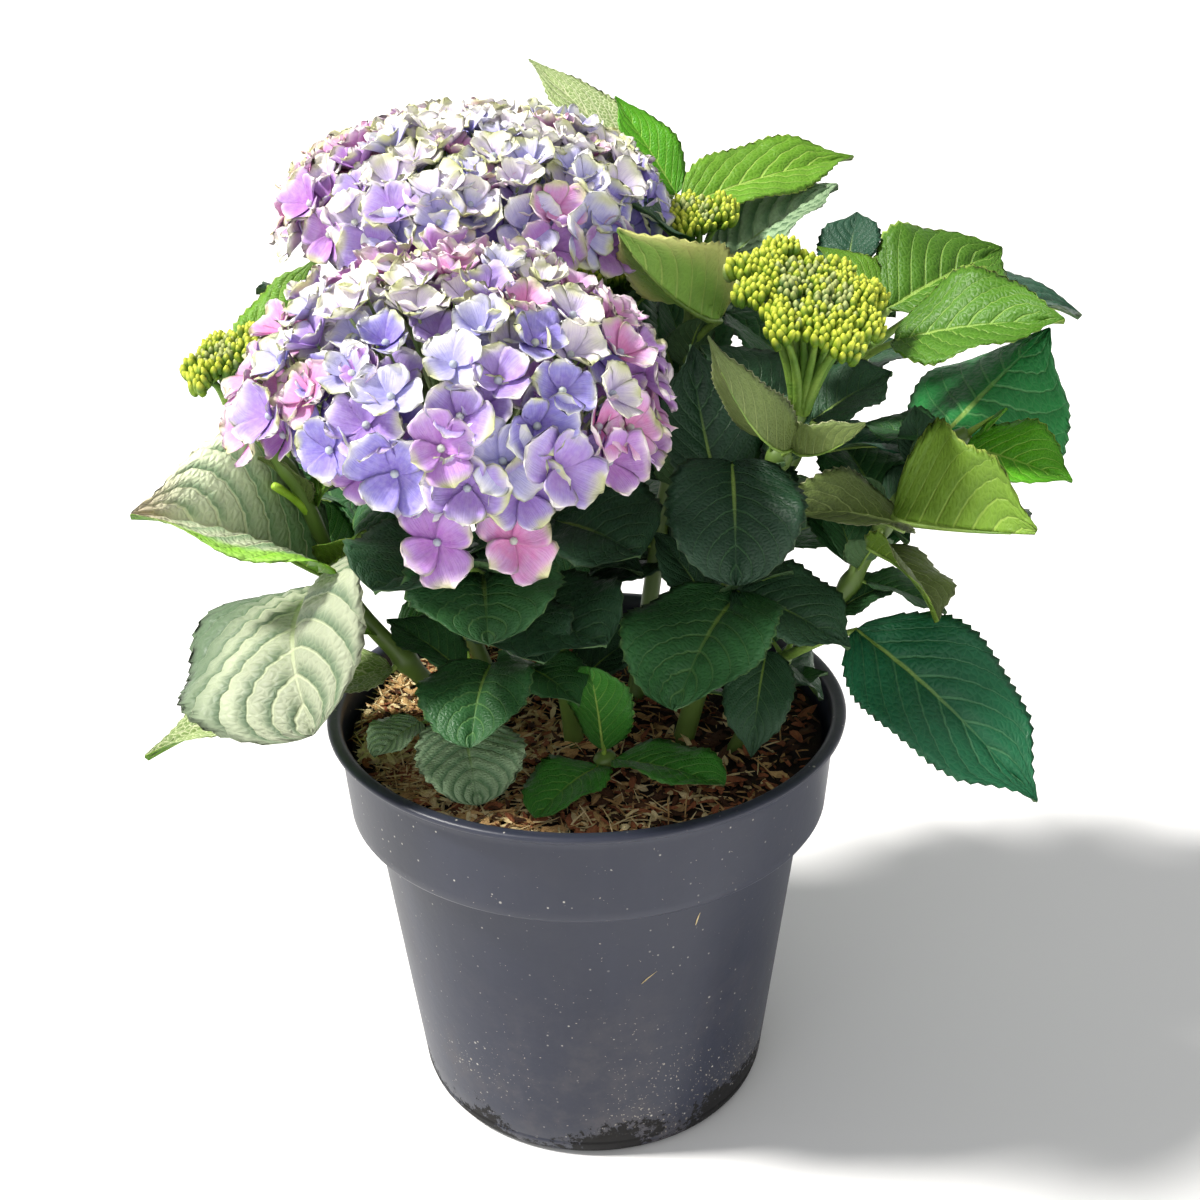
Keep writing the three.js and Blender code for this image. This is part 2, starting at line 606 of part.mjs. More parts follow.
// The pot's wall, collar and rolled lip, turned about its axis.
function pot() {
  const collar = POT_HEIGHT - POT_COLLAR_DEPTH;
  const profile = [
    [0, 0],
    [POT_FOOT_RADIUS - POT_FOOT_ROUND, 0],
    [POT_FOOT_RADIUS - 0.35 * POT_FOOT_ROUND, 0.3 * POT_FOOT_ROUND],
    [POT_FOOT_RADIUS + 0.6, POT_FOOT_ROUND],
    [POT_WALL_TOP_RADIUS, collar],
    [POT_COLLAR_FOOT_RADIUS - 1, collar + 0.4],
    [POT_COLLAR_FOOT_RADIUS, collar + 1.6],
    [POT_COLLAR_TOP_RADIUS, POT_HEIGHT - 5.5],
    [POT_LIP_RADIUS - 0.8, POT_HEIGHT - 4.2],
    [POT_LIP_RADIUS, POT_HEIGHT - 2],
    [POT_LIP_RADIUS - 1.4, POT_HEIGHT],
    [POT_COLLAR_TOP_RADIUS, POT_HEIGHT],
    [POT_COLLAR_TOP_RADIUS - POT_WALL, POT_HEIGHT - 3],
    [POT_COLLAR_FOOT_RADIUS - POT_WALL, collar + 3],
    [POT_WALL_TOP_RADIUS - POT_WALL, collar + 1.8],
    [POT_FOOT_RADIUS - POT_WALL, POT_FOOT_ROUND],
    [POT_FOOT_RADIUS - POT_WALL - 4, POT_FLOOR],
    [0, POT_FLOOR],
  ];
  const geometry = new THREE.LatheGeometry(profile.map((p) => new THREE.Vector2(p[0], p[1])), POT_SIDES);
  geometry.rotateX(Math.PI / 2);
  return toSolid(geometry);
}

// The bark mix that fills the pot, with an uneven top and a socket for each stem.
function mix() {
  const collar = POT_HEIGHT - POT_COLLAR_DEPTH;
  const slope = (POT_COLLAR_TOP_RADIUS - POT_COLLAR_FOOT_RADIUS) / (POT_COLLAR_DEPTH - 6);
  const topRadius = POT_COLLAR_FOOT_RADIUS - POT_WALL - GAP + slope * (MIX_TOP - collar - 3);
  const rows = [
    [POT_FOOT_RADIUS - POT_WALL - 4 - GAP, POT_FLOOR + GAP, 0],
    [POT_FOOT_RADIUS - POT_WALL - GAP, POT_FOOT_ROUND + GAP, 0],
    [POT_WALL_TOP_RADIUS - POT_WALL - GAP, collar + 1.8 + GAP, 0],
    [POT_COLLAR_FOOT_RADIUS - POT_WALL - GAP, collar + 3 + GAP, 0],
    [topRadius, MIX_TOP - 1.5, 0],
    [82, MIX_TOP + 1, 1],
  ];
  const rings = [[new THREE.Vector3(0, 0, POT_FLOOR + GAP)]];
  rows.forEach(([radius, z, loose], k) => {
    const points = [];
    for (let j = 0; j < POT_SIDES; j += 1) {
      const angle = 2 * Math.PI * j / POT_SIDES;
      const bump = loose * MIX_BUMP * (2 * chance(k, j) - 1);
      points.push(new THREE.Vector3(radius * Math.cos(angle), radius * Math.sin(angle), z + bump));
    }
    rings.push(points);
  });
  rings.push([new THREE.Vector3(0, 0, MIX_TOP + 2)]);
  let solid = toSolid(loft(rings));
  for (const shoot of Object.values(SHOOTS)) {
    const curve = stemCurve(shoot);
    solid = solid.subtract(stem(shoot, -0.3 / curve.getLength(), shareAt(curve, MIX_TOP + 8), 1, GAP));
  }
  return solid;
}

const plant = new THREE.Group();

function addPiece(name, solid, color, roughness) {
  const material = new THREE.MeshStandardMaterial({ color, roughness, metalness: 0 });
  const mesh = new THREE.Mesh(toGeometry(solid), material);
  mesh.name = name;
  plant.add(mesh);
}

// What is already placed, each with a grown copy that later masses are cut clear of.
const placed = [];

function place(name, solid, grown, color, roughness) {
  let clear = solid;
  for (const other of placed) clear = clear.subtract(other);
  placed.push(grown.add(solid));
  addPiece(name, clear, color, roughness);
}

addPiece('pot', pot(), 0x5b5c66, 0.5);
addPiece('potting_mix', mix(), 0x6b4a30, 1);

for (const [name, shoot] of Object.entries(SHOOTS)) {
  if (shoot.bare > 0) place(`stem_${name}`, bareStem(shoot, 0), bareStem(shoot, GAP), 0x5f7a34, 0.6);
}
place('flower_head_front', flowerHead(HEADS.front, HANGING, SHOOTS.front, 0),
  flowerHead(HEADS.front, HANGING, SHOOTS.front, GAP), 0xa695d0, 0.7);
place('flower_head_rear', flowerHead(HEADS.rear, [], SHOOTS.rear, 0),
  flowerHead(HEADS.rear, [], SHOOTS.rear, GAP), 0xa9a2d6, 0.7);
for (const [name, head] of Object.entries(BUD_HEADS)) {
  place(`bud_head_${name}`, budHead(head, SHOOTS[name], 0), budHead(head, SHOOTS[name], GAP), 0xb3c94a, 0.6);
}
for (const [name, shoot] of Object.entries(SHOOTS)) {
  place(`leaves_${name}`, foliage(shoot, 0), foliage(shoot, GAP), 0x2f6a3c, 0.55);
}

export default plant;
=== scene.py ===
"""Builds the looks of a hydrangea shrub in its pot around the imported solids.

Metres, +Z up, the origin at the centre of the pot's foot, the viewer on the -Y side.
The plant's own rule is written in millimetres and degrees, as in the solids' source.
"""
import math

import bpy
import numpy as np
from mathutils import Euler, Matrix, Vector


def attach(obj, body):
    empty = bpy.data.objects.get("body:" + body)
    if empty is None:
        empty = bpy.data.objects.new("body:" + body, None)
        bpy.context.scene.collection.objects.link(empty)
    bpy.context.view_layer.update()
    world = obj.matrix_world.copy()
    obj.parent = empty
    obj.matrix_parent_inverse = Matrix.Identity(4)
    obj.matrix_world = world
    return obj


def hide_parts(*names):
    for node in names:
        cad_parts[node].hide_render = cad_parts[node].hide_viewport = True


bl_info = {
    "name": "Potted hydrangea",
    "version": (1, 0, 0),
    "blender": (4, 5, 0),
    "location": "3D View > Sidebar > Hydrangea",
    "description": "Dresses the packed hydrangea shrub: pot, bark, stems, leaves, florets and buds",
    "category": "Object",
}

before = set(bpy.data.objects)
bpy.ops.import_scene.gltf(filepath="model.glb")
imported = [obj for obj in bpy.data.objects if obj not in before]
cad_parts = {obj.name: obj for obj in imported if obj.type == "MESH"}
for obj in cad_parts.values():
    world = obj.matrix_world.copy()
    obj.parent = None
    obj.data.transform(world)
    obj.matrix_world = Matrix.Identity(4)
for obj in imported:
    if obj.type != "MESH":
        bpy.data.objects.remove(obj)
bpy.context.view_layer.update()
MM = 0.001

# The two open flower heads, as in the solids: a dome, how far down it the florets go, the turn and the angle
# from the top of each floret that hangs, and the turns between which the lowest florets have fallen.
HEADS = {
    "front": {"centre": (-55, -84, 428), "across": 97, "up": 68, "down": 56, "polar": 112, "seed": 3,
              "hanging": [(-92, 127), (-68, 135)], "fallen": (172, 244)},
    "rear": {"centre": (-54, 77, 482), "across": 104, "up": 50, "down": 46, "polar": 104, "seed": 8,
             "hanging": [], "fallen": (0, 0)},
}

# A broken leaf stalk: its shoot, its height on it, where it points and its length.
STUB = ("left", 346, -132, 46, 30)

# The flat-topped heads of closed buds: radius, rise above the stem, the lean of the top, and the clusters on it.
BUD_HEADS = {
    "tall": {"radius": 42, "rise": 62, "lean": 27, "turn": -62, "clusters": 24, "seed": 21},
    "back": {"radius": 22, "rise": 32, "lean": 14, "turn": -70, "clusters": 9, "seed": 22},
    "left": {"radius": 24, "rise": 26, "lean": 22, "turn": -150, "clusters": 9, "seed": 23},
    "northwest": {"radius": 20, "rise": 24, "lean": 10, "turn": 120, "clusters": 7, "seed": 24},
    "north": {"radius": 24, "rise": 26, "lean": 12, "turn": 80, "clusters": 9, "seed": 25},
}


def chance(a, b):
    """A repeatable number from 0 to 1."""
    value = math.sin(a * 12.9898 + b * 78.233) * 43758.5453
    return value - math.floor(value)


def leaf(z, turn, rise, reach, wide, **more):
    """One leaf: the stem height it leaves from, where it points, its reach and its width."""
    return {"z": z, "turn": turn, "rise": rise, "reach": reach, "wide": wide, "stalk": 0.14, "lift": 12,
            "swing": 0, "arch": 38, "roll": 0, "fold": 16, "cup": 0.1, "tone": "mid", "blunt": False, **more}


def pairs(seed, low, high, count, turn, reach, rise, tones=("mid", "dark")):
    """Leaves in crossed pairs up a stem."""
    leaves = []
    for i in range(count):
        share = i / (count - 1) if count > 1 else 0
        for side in range(2):
            k = i * 2 + side
            wobble = 22 * (chance(seed, k) - 0.5)
            long = reach * (1 - 0.28 * share) * (0.9 + 0.2 * chance(seed + 5, k))
            climb = rise + 34 * share + 14 * (chance(seed + 9, k) - 0.5)
            leaves.append(leaf(
                low + (high - low) * share, turn + 90 * i + 180 * side + wobble, climb, long, long * 0.62,
                arch=34 + 30 * chance(seed + 13, k), roll=30 * (chance(seed + 17, k) - 0.5),
                tone=tones[k % len(tones)]))
    return leaves


# Each shoot: its stem's way, its thickness, the height where its leaves begin, and its leaves.
SHOOTS = {
    "left": {
        "path": [[-60, 8, 206], [-93, 2, 250], [-126, -2, 300], [-144, -14, 366], [-168, -27, 412]],
        "foot": 5.6, "tip": 3.4, "bare": 244,
        "leaves": [
            leaf(256, -153, -8, 144, 66,
                 stalk=0.06, lift=-2, swing=13, arch=26, tone="netted"),
            leaf(256, 46, 14, 84, 52, arch=40, tone="fresh"),
            leaf(300, -91, -13, 113, 132,
                 stalk=0.14, lift=40, swing=-43, arch=84, fold=18, cup=0.14, roll=-34, tone="sunlit", blunt=True),
            leaf(300, 92, 8, 96, 58),
            leaf(318, -147, 26, 110, 112,
                 stalk=0.09, lift=-40, swing=42, arch=44, fold=36, roll=28, tone="blush"),
            leaf(318, 30, -2, 66, 40, roll=40),
            leaf(372, 92, 34, 84, 50),
            leaf(400, 52, 52, 90, 40, stalk=0.24, lift=-11, swing=53, arch=-12, roll=-30, tone="bright"),
        ],
    },
    "front": {
        "path": [[-6, -22, 206], [-12, -34, 270], [-24, -52, 330], [-46, -74, 366]],
        "foot": 5.4, "tip": 4.4, "bare": 262,
        "leaves": [
            leaf(290, -133, 29, 130, 84, stalk=0.55, lift=18, swing=-8, arch=44, tone="dark", blunt=True),
            leaf(292, -71, 20, 86, 76, stalk=0.54, lift=10, swing=-50, arch=40, roll=-8, tone="dark", blunt=True),
            leaf(306, -102, 17, 114, 74, stalk=0.61, lift=19, swing=-18, arch=52, tone="mid", blunt=True),
            leaf(284, -92, 21, 95, 56, stalk=0.68, lift=16, swing=-36, arch=36, tone="dark", blunt=True),
            leaf(330, -26, 18, 61, 80, stalk=0.46, lift=45, swing=54, arch=36, roll=-10, tone="dark", blunt=True),
        ],
    },
    "rear": {
        "path": [[-14, 34, 206], [-24, 46, 280], [-40, 60, 360], [-52, 70, 424]],
        "foot": 5.6, "tip": 4.6, "bare": 300,
        "leaves": [
            leaf(330, 176, 12, 118, 72, arch=34),
            leaf(330, 84, 14, 118, 74, arch=40, tone="dark"),
            leaf(376, 178, 22, 126, 66, arch=44),
            leaf(384, 112, 12, 128, 78, arch=46, tone="dark"),
            leaf(384, 40, 6, 84, 54, arch=36),
        ],
    },
    "tall": {
        "path": [[50, -18, 206], [62, -24, 262], [79, -30, 325], [93, -30, 368], [106, -26, 400]],
        "foot": 5.8, "tip": 4.6, "bare": 280,
        "leaves": [
            leaf(300, -109, -8, 94, 82, stalk=0.25, lift=45, swing=35, arch=40, roll=-6, tone="mid", blunt=True),
            leaf(296, -40, 1, 76, 58, stalk=0.34, lift=47, swing=-34, arch=34, roll=-10, tone="dark"),
            leaf(344, -101, 1, 77, 66, stalk=0.69, lift=54, swing=-15, arch=60, tone="deep", blunt=True),
            leaf(340, 88, 0, 88, 56, arch=36, tone="deep"),
            leaf(348, 165, 69, 93, 62, stalk=0.31, lift=-35, swing=55, arch=-14, tone="deep"),
            leaf(380, -117, 42, 125, 38,
                 stalk=0.19, lift=-14, swing=33, arch=-64, fold=44, roll=-24, tone="mid", under="pale"),
            leaf(378, -66, 29, 84, 34,
                 stalk=0.27, lift=2, swing=-10, arch=-44, fold=40, roll=24, tone="mid", under="pale"),
            leaf(390, 140, 33, 65, 54, stalk=0.21, lift=-31, swing=-47, arch=20, roll=10, tone="dark"),
            leaf(390, 20, 24, 61, 52, stalk=0.28, lift=-12, swing=22, arch=24, roll=-14, tone="dark"),
        ],
    },
    "back": {
        "path": [[26, 26, 206], [40, 44, 300], [56, 60, 390], [62, 67, 450]],
        "foot": 5.2, "tip": 3.6, "bare": 330,
        "leaves": [
            leaf(366, -86, 18, 74, 50, arch=34, tone="dark"),
            leaf(372, 96, 18, 132, 80, arch=42),
            leaf(404, -58, 49, 81, 46, stalk=0.5, lift=22, swing=-5, arch=34, tone="dark"),
            leaf(410, -119, 44, 112, 66,
                 stalk=0.3, lift=-6, swing=61, arch=-46, fold=34, roll=-30, tone="fresh", under="amber"),
            leaf(420, -129, 55, 89, 36, stalk=0.56, lift=11, swing=29, arch=22, roll=20, tone="dark"),
            leaf(430, 26, 32, 105, 66, stalk=0.26, lift=3, swing=34, arch=22, roll=-10, tone="sheen"),
            leaf(438, 36, 27, 127, 52, stalk=0.41, lift=21, swing=62, arch=22, roll=-26, tone="bright"),
            leaf(436, 125, 35, 188, 34,
                 stalk=0.37, lift=-1, swing=-26, arch=14, roll=30, tone="netted", under="netted"),
            leaf(438, 119, 48, 123, 32, stalk=0.51, lift=-5, swing=-20, arch=10, roll=24, tone="vivid"),
        ],
    },
    "right": {
        "path": [[78, 6, 206], [106, 0, 246], [138, 0, 294], [156, 0, 330], [182, 2, 368], [196, 0, 380]],
        "foot": 5.2, "tip": 2.8, "bare": 278,
        "leaves": [
            leaf(296, 73, 16, 104, 64, arch=40),
            leaf(300, -20, -14, 52, 34, arch=30),
            leaf(328, -80, -10, 84, 48,
                 stalk=0.38, lift=16, swing=-31, arch=50, fold=22, roll=30, tone="pale", under="glow"),
            leaf(332, 106, 20, 76, 50, arch=34),
            leaf(340, -139, 12, 104, 44,
                 stalk=0.15, lift=-40, swing=59, arch=44, fold=30, roll=26, tone="pale"),
            leaf(346, -55, 6, 87, 104,
                 stalk=0.24, lift=-15, swing=-60, arch=-10, fold=46, roll=52, tone="mid", under="glow"),
            leaf(372, 44, 26, 100, 104,
                 stalk=0.07, lift=17, swing=75, arch=14, fold=-30, roll=-15, tone="fern"),
            leaf(374, -44, -3, 68, 46,
                 stalk=0.16, lift=13, swing=-18, arch=18, roll=-28, tone="vivid", under="vivid"),
            leaf(378, -25, 41, 27, 14, stalk=0.25, lift=-45, swing=-16, arch=6, tone="vivid"),
            leaf(372, 144, 4, 48, 36, stalk=0.12, lift=29, swing=7, arch=16, roll=10),
        ],
    },
    "high": {
        "path": [[58, 34, 206], [88, 42, 300], [122, 36, 376], [144, 24, 418]],
        "foot": 5.2, "tip": 2.8, "bare": 310,
        "leaves": [
            leaf(350, 70, 16, 116, 70, arch=42),
            leaf(356, -12, 4, 78, 48, arch=34, tone="teal"),
            leaf(384, 130, 26, 84, 52, arch=34),
            leaf(404, -35, 21, 120, 66, stalk=0.35, lift=15, swing=-22, arch=26, roll=-26, tone="lime"),
            leaf(408, 24, 3, 148, 64, stalk=0.37, lift=25, swing=4, arch=40, roll=-16, tone="glossy"),
            leaf(412, 21, 30, 97, 72, stalk=0.32, lift=31, swing=-35, arch=22, roll=-24, tone="lime"),
            leaf(414, 85, 52, 80, 36, stalk=0.57, lift=2, swing=12, arch=20, roll=10, tone="glossy"),
            leaf(414, 135, 61, 59, 28, stalk=0.53, lift=0, swing=-132, arch=10, roll=16, tone="bright"),
        ],
    },
    "low": {
        "path": [[74, -28, 206], [92, -28, 244], [104, -24, 268]],
        "foot": 4.4, "tip": 2.6, "bare": 232,
        "leaves": [
            leaf(267, -38, -14, 148, 74,
                 stalk=0.3, lift=46, swing=13, arch=36, fold=12, roll=-24, tone="teal"),
            leaf(250, -105, -18, 49, 38, stalk=0.54, lift=93, swing=-1, arch=44, tone="dark"),
            leaf(252, 10, -22, 32, 42, stalk=0.53, lift=74, swing=50, arch=30, tone="dark"),
            leaf(266, 120, 30, 70, 44),
        ],
    },
    "young": {
        "path": [[9, -51, 206], [9, -52, 216], [9, -53, 227]],
        "foot": 3.0, "tip": 2.2, "bare": 0,
        "leaves": [
            leaf(225, -107, 72, 66, 36, stalk=0.08, arch=14, tone="fresh", under="fresh", blunt=True),
            leaf(224, -37, 8, 74, 40, stalk=0.1, arch=22, tone="fresh", blunt=True),
            leaf(222, -124, 0, 62, 40, stalk=0.1, arch=30, tone="fresh", blunt=True),
            leaf(226, 96, 46, 38, 22, stalk=0.1, arch=20, tone="fresh", blunt=True),
        ],
    },
    "side": {
        "path": [[-46, -26, 206], [-56, -34, 240], [-58, -42, 270]],
        "foot": 4.0, "tip": 2.4, "bare": 0,
        "leaves": [
            leaf(262, -87, 7, 83, 58, stalk=0.41, lift=36, swing=23, arch=50, roll=-6, tone="mid", blunt=True),
            leaf(262, -39, 9, 72, 42, stalk=0.49, lift=18, swing=16, arch=40),
            leaf(242, -87, -13, 67, 56, stalk=0.42, lift=33, swing=-17, arch=36, tone="sheen", blunt=True),
            leaf(240, -152, -6, 60, 32, stalk=0.52, lift=8, swing=-17, arch=30, tone="sheen", blunt=True),
            leaf(264, 150, 24, 58, 40, arch=30),
        ],
    },
    "northwest": {
        "path": [[-52, 48, 206], [-78, 74, 270], [-104, 96, 340], [-124, 112, 406]],
        "foot": 5.2, "tip": 3.2, "bare": 262,
        "leaves": pairs(31, 286, 396, 4, 148, 132, 2),
    },
    "north": {
        "path": [[2, 62, 206], [8, 100, 280], [12, 132, 350], [14, 150, 404]],
        "foot": 5.2, "tip": 3.2, "bare": 262,
        "leaves": pairs(41, 284, 394, 4, 62, 134, 0),
    },
    "northeast": {
        "path": [[54, 52, 206], [84, 84, 262], [110, 112, 318], [128, 132, 372]],
        "foot": 5.0, "tip": 2.6, "bare": 256,
        "leaves": pairs(52, 276, 370, 4, 30, 132, 0),
    },
}


# Small leaves in the axils, by shoot: lowest and highest pair, how many pairs, turn, reach and tones.
AXILS = {
    "left": (268, 384, 4, 20, 50, ("fresh", "bright")),
    "front": (250, 322, 4, 40, 58, ("dark", "mid")),
    "rear": (270, 400, 5, 10, 66, ("dark", "mid")),
    "tall": (260, 372, 5, 45, 60, ("dark", "dark")),
    "back": (300, 424, 5, 30, 58, ("dark", "mid")),
    "right": (276, 356, 4, 15, 50, ("mid", "dark")),
    "high": (300, 396, 4, 60, 56, ("dark", "mid")),
    "low": (238, 256, 1, 20, 44, ("mid", "dark")),
    "northwest": (262, 388, 5, 55, 62, ("mid", "dark")),
    "north": (262, 386, 5, 20, 62, ("dark", "mid")),
    "northeast": (254, 356, 5, 75, 62, ("mid", "dark")),
}


class StemCurve:
    """A smooth centripetal curve through a shoot's points, sampled once."""

    def __init__(self, path, samples=240):
        self.knots = [np.array(p, float) for p in path]
        self.shares = np.linspace(0, 1, samples + 1)
        self.table = np.array([self.point(t) for t in self.shares])
        self.length = float(np.linalg.norm(np.diff(self.table, axis=0), axis=1).sum())

    def point(self, t):
        knots = self.knots
        count = len(knots)
        place = (count - 1) * t
        i = min(int(math.floor(place)), count - 2)
        w = place - i
        before = knots[i - 1] if i > 0 else 2 * knots[0] - knots[1]
        after = knots[i + 2] if i + 2 < count else 2 * knots[-1] - knots[-2]
        p = [before, knots[i], knots[i + 1], after]
        gaps = [max(((p[k] - p[k + 1]) ** 2).sum(), 1e-9) ** 0.25 for k in range(3)]
        slopes = []
        for k in (0, 1):
            a, b = gaps[k], gaps[k + 1]
            slope = (p[k + 1] - p[k]) / a - (p[k + 2] - p[k]) / (a + b) + (p[k + 2] - p[k + 1]) / b
            slopes.append(slope * gaps[1])
        c2 = 3 * (p[2] - p[1]) - 2 * slopes[0] - slopes[1]
        c3 = 2 * (p[1] - p[2]) + slopes[0] + slopes[1]
        return p[1] + slopes[0] * w + c2 * w * w + c3 * w ** 3

    def at(self, t):
        """Points at shares of the curve, carried on straight past its ends."""
        t = np.atleast_1d(np.asarray(t, float))
        inside = np.clip(t, 0, 1)
        places = np.stack([np.interp(inside, self.shares, self.table[:, k]) for k in range(3)], axis=1)
        return places + (t - inside)[:, None] * self.length * self.way(inside)

    def way(self, t):
        t = np.atleast_1d(t)
        ahead = np.minimum(t + 0.01, 1)
        behind = np.maximum(ahead - 0.02, 0)
        step = [np.interp(ahead, self.shares, self.table[:, k]) - np.interp(behind, self.shares, self.table[:, k])
                for k in range(3)]
        step = np.stack(step, axis=1)
        return step / np.linalg.norm(step, axis=1, keepdims=True)

    def share(self, z):
        return float(np.interp(z, self.table[:, 2], self.shares))


CURVES = {name: StemCurve(shoot["path"]) for name, shoot in SHOOTS.items()}


def unit(v):
    """Vectors at a length of 1."""
    v = np.asarray(v, float)
    return v / np.linalg.norm(v, axis=-1, keepdims=True)


def direction(turn, rise):
    """The way that points to a turn about +Z and a rise above level."""
    flat = math.cos(math.radians(rise))
    return np.array([flat * math.cos(math.radians(turn)), flat * math.sin(math.radians(turn)),
                     math.sin(math.radians(rise))])


def sides_of(axis, hint=(0, 0, 1)):
    """Two unit vectors square to an axis."""
    hint = np.array(hint, float)
    if abs(float(np.dot(hint, axis))) > 0.97:
        hint = np.array([1.0, 0.0, 0.0])
    x = unit(hint - axis * np.dot(hint, axis))
    return x, np.cross(axis, x)


# Surfaces. Every form here is a closed skin through rings of points, as one patch of faces.

def loft(rings, start, end, along=None, around=None, mirrored=None):
    """Points, and groups of faces with their pattern and column, through rings of points.

    The points start and end close it; along and around place its pattern. Columns marked mirrored
    split their faces the other way, so that a thin blade's two sides bend alike.
    """
    rings = np.asarray(rings, float)
    rows, columns = rings.shape[:2]
    along = np.linspace(0, 1, rows) if along is None else np.asarray(along, float)
    around = np.linspace(0, 1, columns + 1) if around is None else np.asarray(around, float)
    i, j = [a.ravel() for a in np.meshgrid(np.arange(rows - 1), np.arange(columns), indexing="ij")]
    k = (j + 1) % columns
    quads = np.stack([i * columns + j, (i + 1) * columns + j, (i + 1) * columns + k, i * columns + k], axis=1)
    corners = [(along[i], around[j]), (along[i + 1], around[j]),
               (along[i + 1], around[j + 1]), (along[i], around[j + 1])]
    uv = np.stack([np.stack(c, axis=1) for c in corners], axis=1)
    if mirrored is not None:
        turned = np.asarray(mirrored)[j]
        quads[turned] = np.roll(quads[turned], 1, axis=1)
        uv[turned] = np.roll(uv[turned], 1, axis=1)
    groups = [(quads, uv, j)]
    j = np.arange(columns)
    k = (j + 1) % columns
    middle = (around[:-1] + around[1:]) / 2
    for last in (0, 1):
        edge = last * (rows - 1) * columns
        apex = np.full(columns, rows * columns + last)
        near = np.full(columns, along[-last])
        corners = [(apex, np.full(columns, float(last)), middle), (edge + j, near, around[:-1]),
                   (edge + k, near, around[1:])]
        if last:
            corners[:2] = corners[1::-1]
        groups.append((np.stack([corner[0] for corner in corners], axis=1),
                       np.stack([np.stack(corner[1:], axis=1) for corner in corners], axis=1), j))
    return np.concatenate([rings.reshape(-1, 3), np.array([start, end], float)]), groups


def tube(points, radii, sides=8, flat=1.0, hint=(0, 0, 1)):
    """A closed tube along points, without twist; flat squeezes it across."""
    points = np.asarray(points, float)
    radii = np.broadcast_to(np.asarray(radii, float), len(points))
    ways = unit(np.gradient(points, axis=0))
    x, _ = sides_of(ways[0], hint)
    angle = 2 * np.pi * np.arange(sides) / sides
    rings = []
    for p, way, radius in zip(points, ways, radii):
        x = unit(x - way * np.dot(x, way))
        y = np.cross(way, x)
        # Turned so that the skin faces outward.
        rings.append(p + radius * (np.cos(angle)[:, None] * x * flat - np.sin(angle)[:, None] * y))
    return loft(rings, points[0] - ways[0] * radii[0] * 0.4, points[-1] + ways[-1] * radii[-1] * 0.4)


# The share of a baked cell left free on each side.
CELL_MARGIN = 0.04


class Patchwork:
    """Collects patches and makes them one mesh object."""

    def __init__(self, name):
        self.name = name
        self.count = 0
        self.points, self.corners, self.sizes, self.slots, self.uv, self.atlas = [], [], [], [], [], []

    def add(self, patch, slots=0, cells=None):
        """slots and cells may be given for each column of the patch, as top and underside differ."""
        points, groups = patch
        self.points.append(points)
        for faces, uv, column in groups:
            self.corners.append((faces + self.count).ravel())
            self.sizes.append(np.full(len(faces), faces.shape[1]))
            self.slots.append(np.full(len(faces), slots) if np.isscalar(slots) else slots[column])
            self.uv.append(uv.reshape(-1, 2))
            if cells is not None:
                cell = cells[column][:, None]
                inner = CELL_MARGIN + (1 - 2 * CELL_MARGIN) * uv
                self.atlas.append((cell[..., :2] + inner * cell[..., 2:]).reshape(-1, 2))
        self.count += len(points)

    def build(self, materials, smooth=True):
        mesh = bpy.data.meshes.new(self.name)
        points = np.concatenate(self.points) * MM
        corners = np.concatenate(self.corners)
        sizes = np.concatenate(self.sizes)
        mesh.vertices.add(len(points))
        mesh.vertices.foreach_set("co", points.astype(np.float32).ravel())
        mesh.loops.add(len(corners))
        mesh.loops.foreach_set("vertex_index", corners.astype(np.int32))
        mesh.polygons.add(len(sizes))
        starts = np.concatenate([[0], np.cumsum(sizes)[:-1]])
        mesh.polygons.foreach_set("loop_start", starts.astype(np.int32))
        mesh.update(calc_edges=True)
        for material in materials:
            mesh.materials.append(material)
        mesh.polygons.foreach_set("material_index", np.concatenate(self.slots).astype(np.int32))
        mesh.polygons.foreach_set("use_smooth", np.full(len(sizes), smooth))
        for name, parts in (("Pattern", self.uv), ("OFBake", self.atlas)):
            if parts:
                layer = mesh.uv_layers.new(name=name)
                layer.uv.foreach_set("vector", np.concatenate(parts).astype(np.float32).ravel())
        if mesh.validate():
            raise RuntimeError(self.name + " has bad faces")
        piece = bpy.data.objects.new(self.name, mesh)
        bpy.context.scene.collection.objects.link(piece)
        return piece


def cell_grid(count, columns):
    """Equal cells of the unit square: lowest corner and size of each."""
    rows = math.ceil(count / columns)
    place = np.arange(count)
    return np.stack([(place % columns) / columns, (place // columns) / rows,
                     np.full(count, 1 / columns), np.full(count, 1 / rows)], axis=1)


def dress(piece, slot, *nodes):
    """The piece rides with the plant and stands for the solids named."""
    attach(piece, "root")
    if nodes:
        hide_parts(*nodes)


# Materials. A group holds an effect that several materials share; shaders stay in the material.

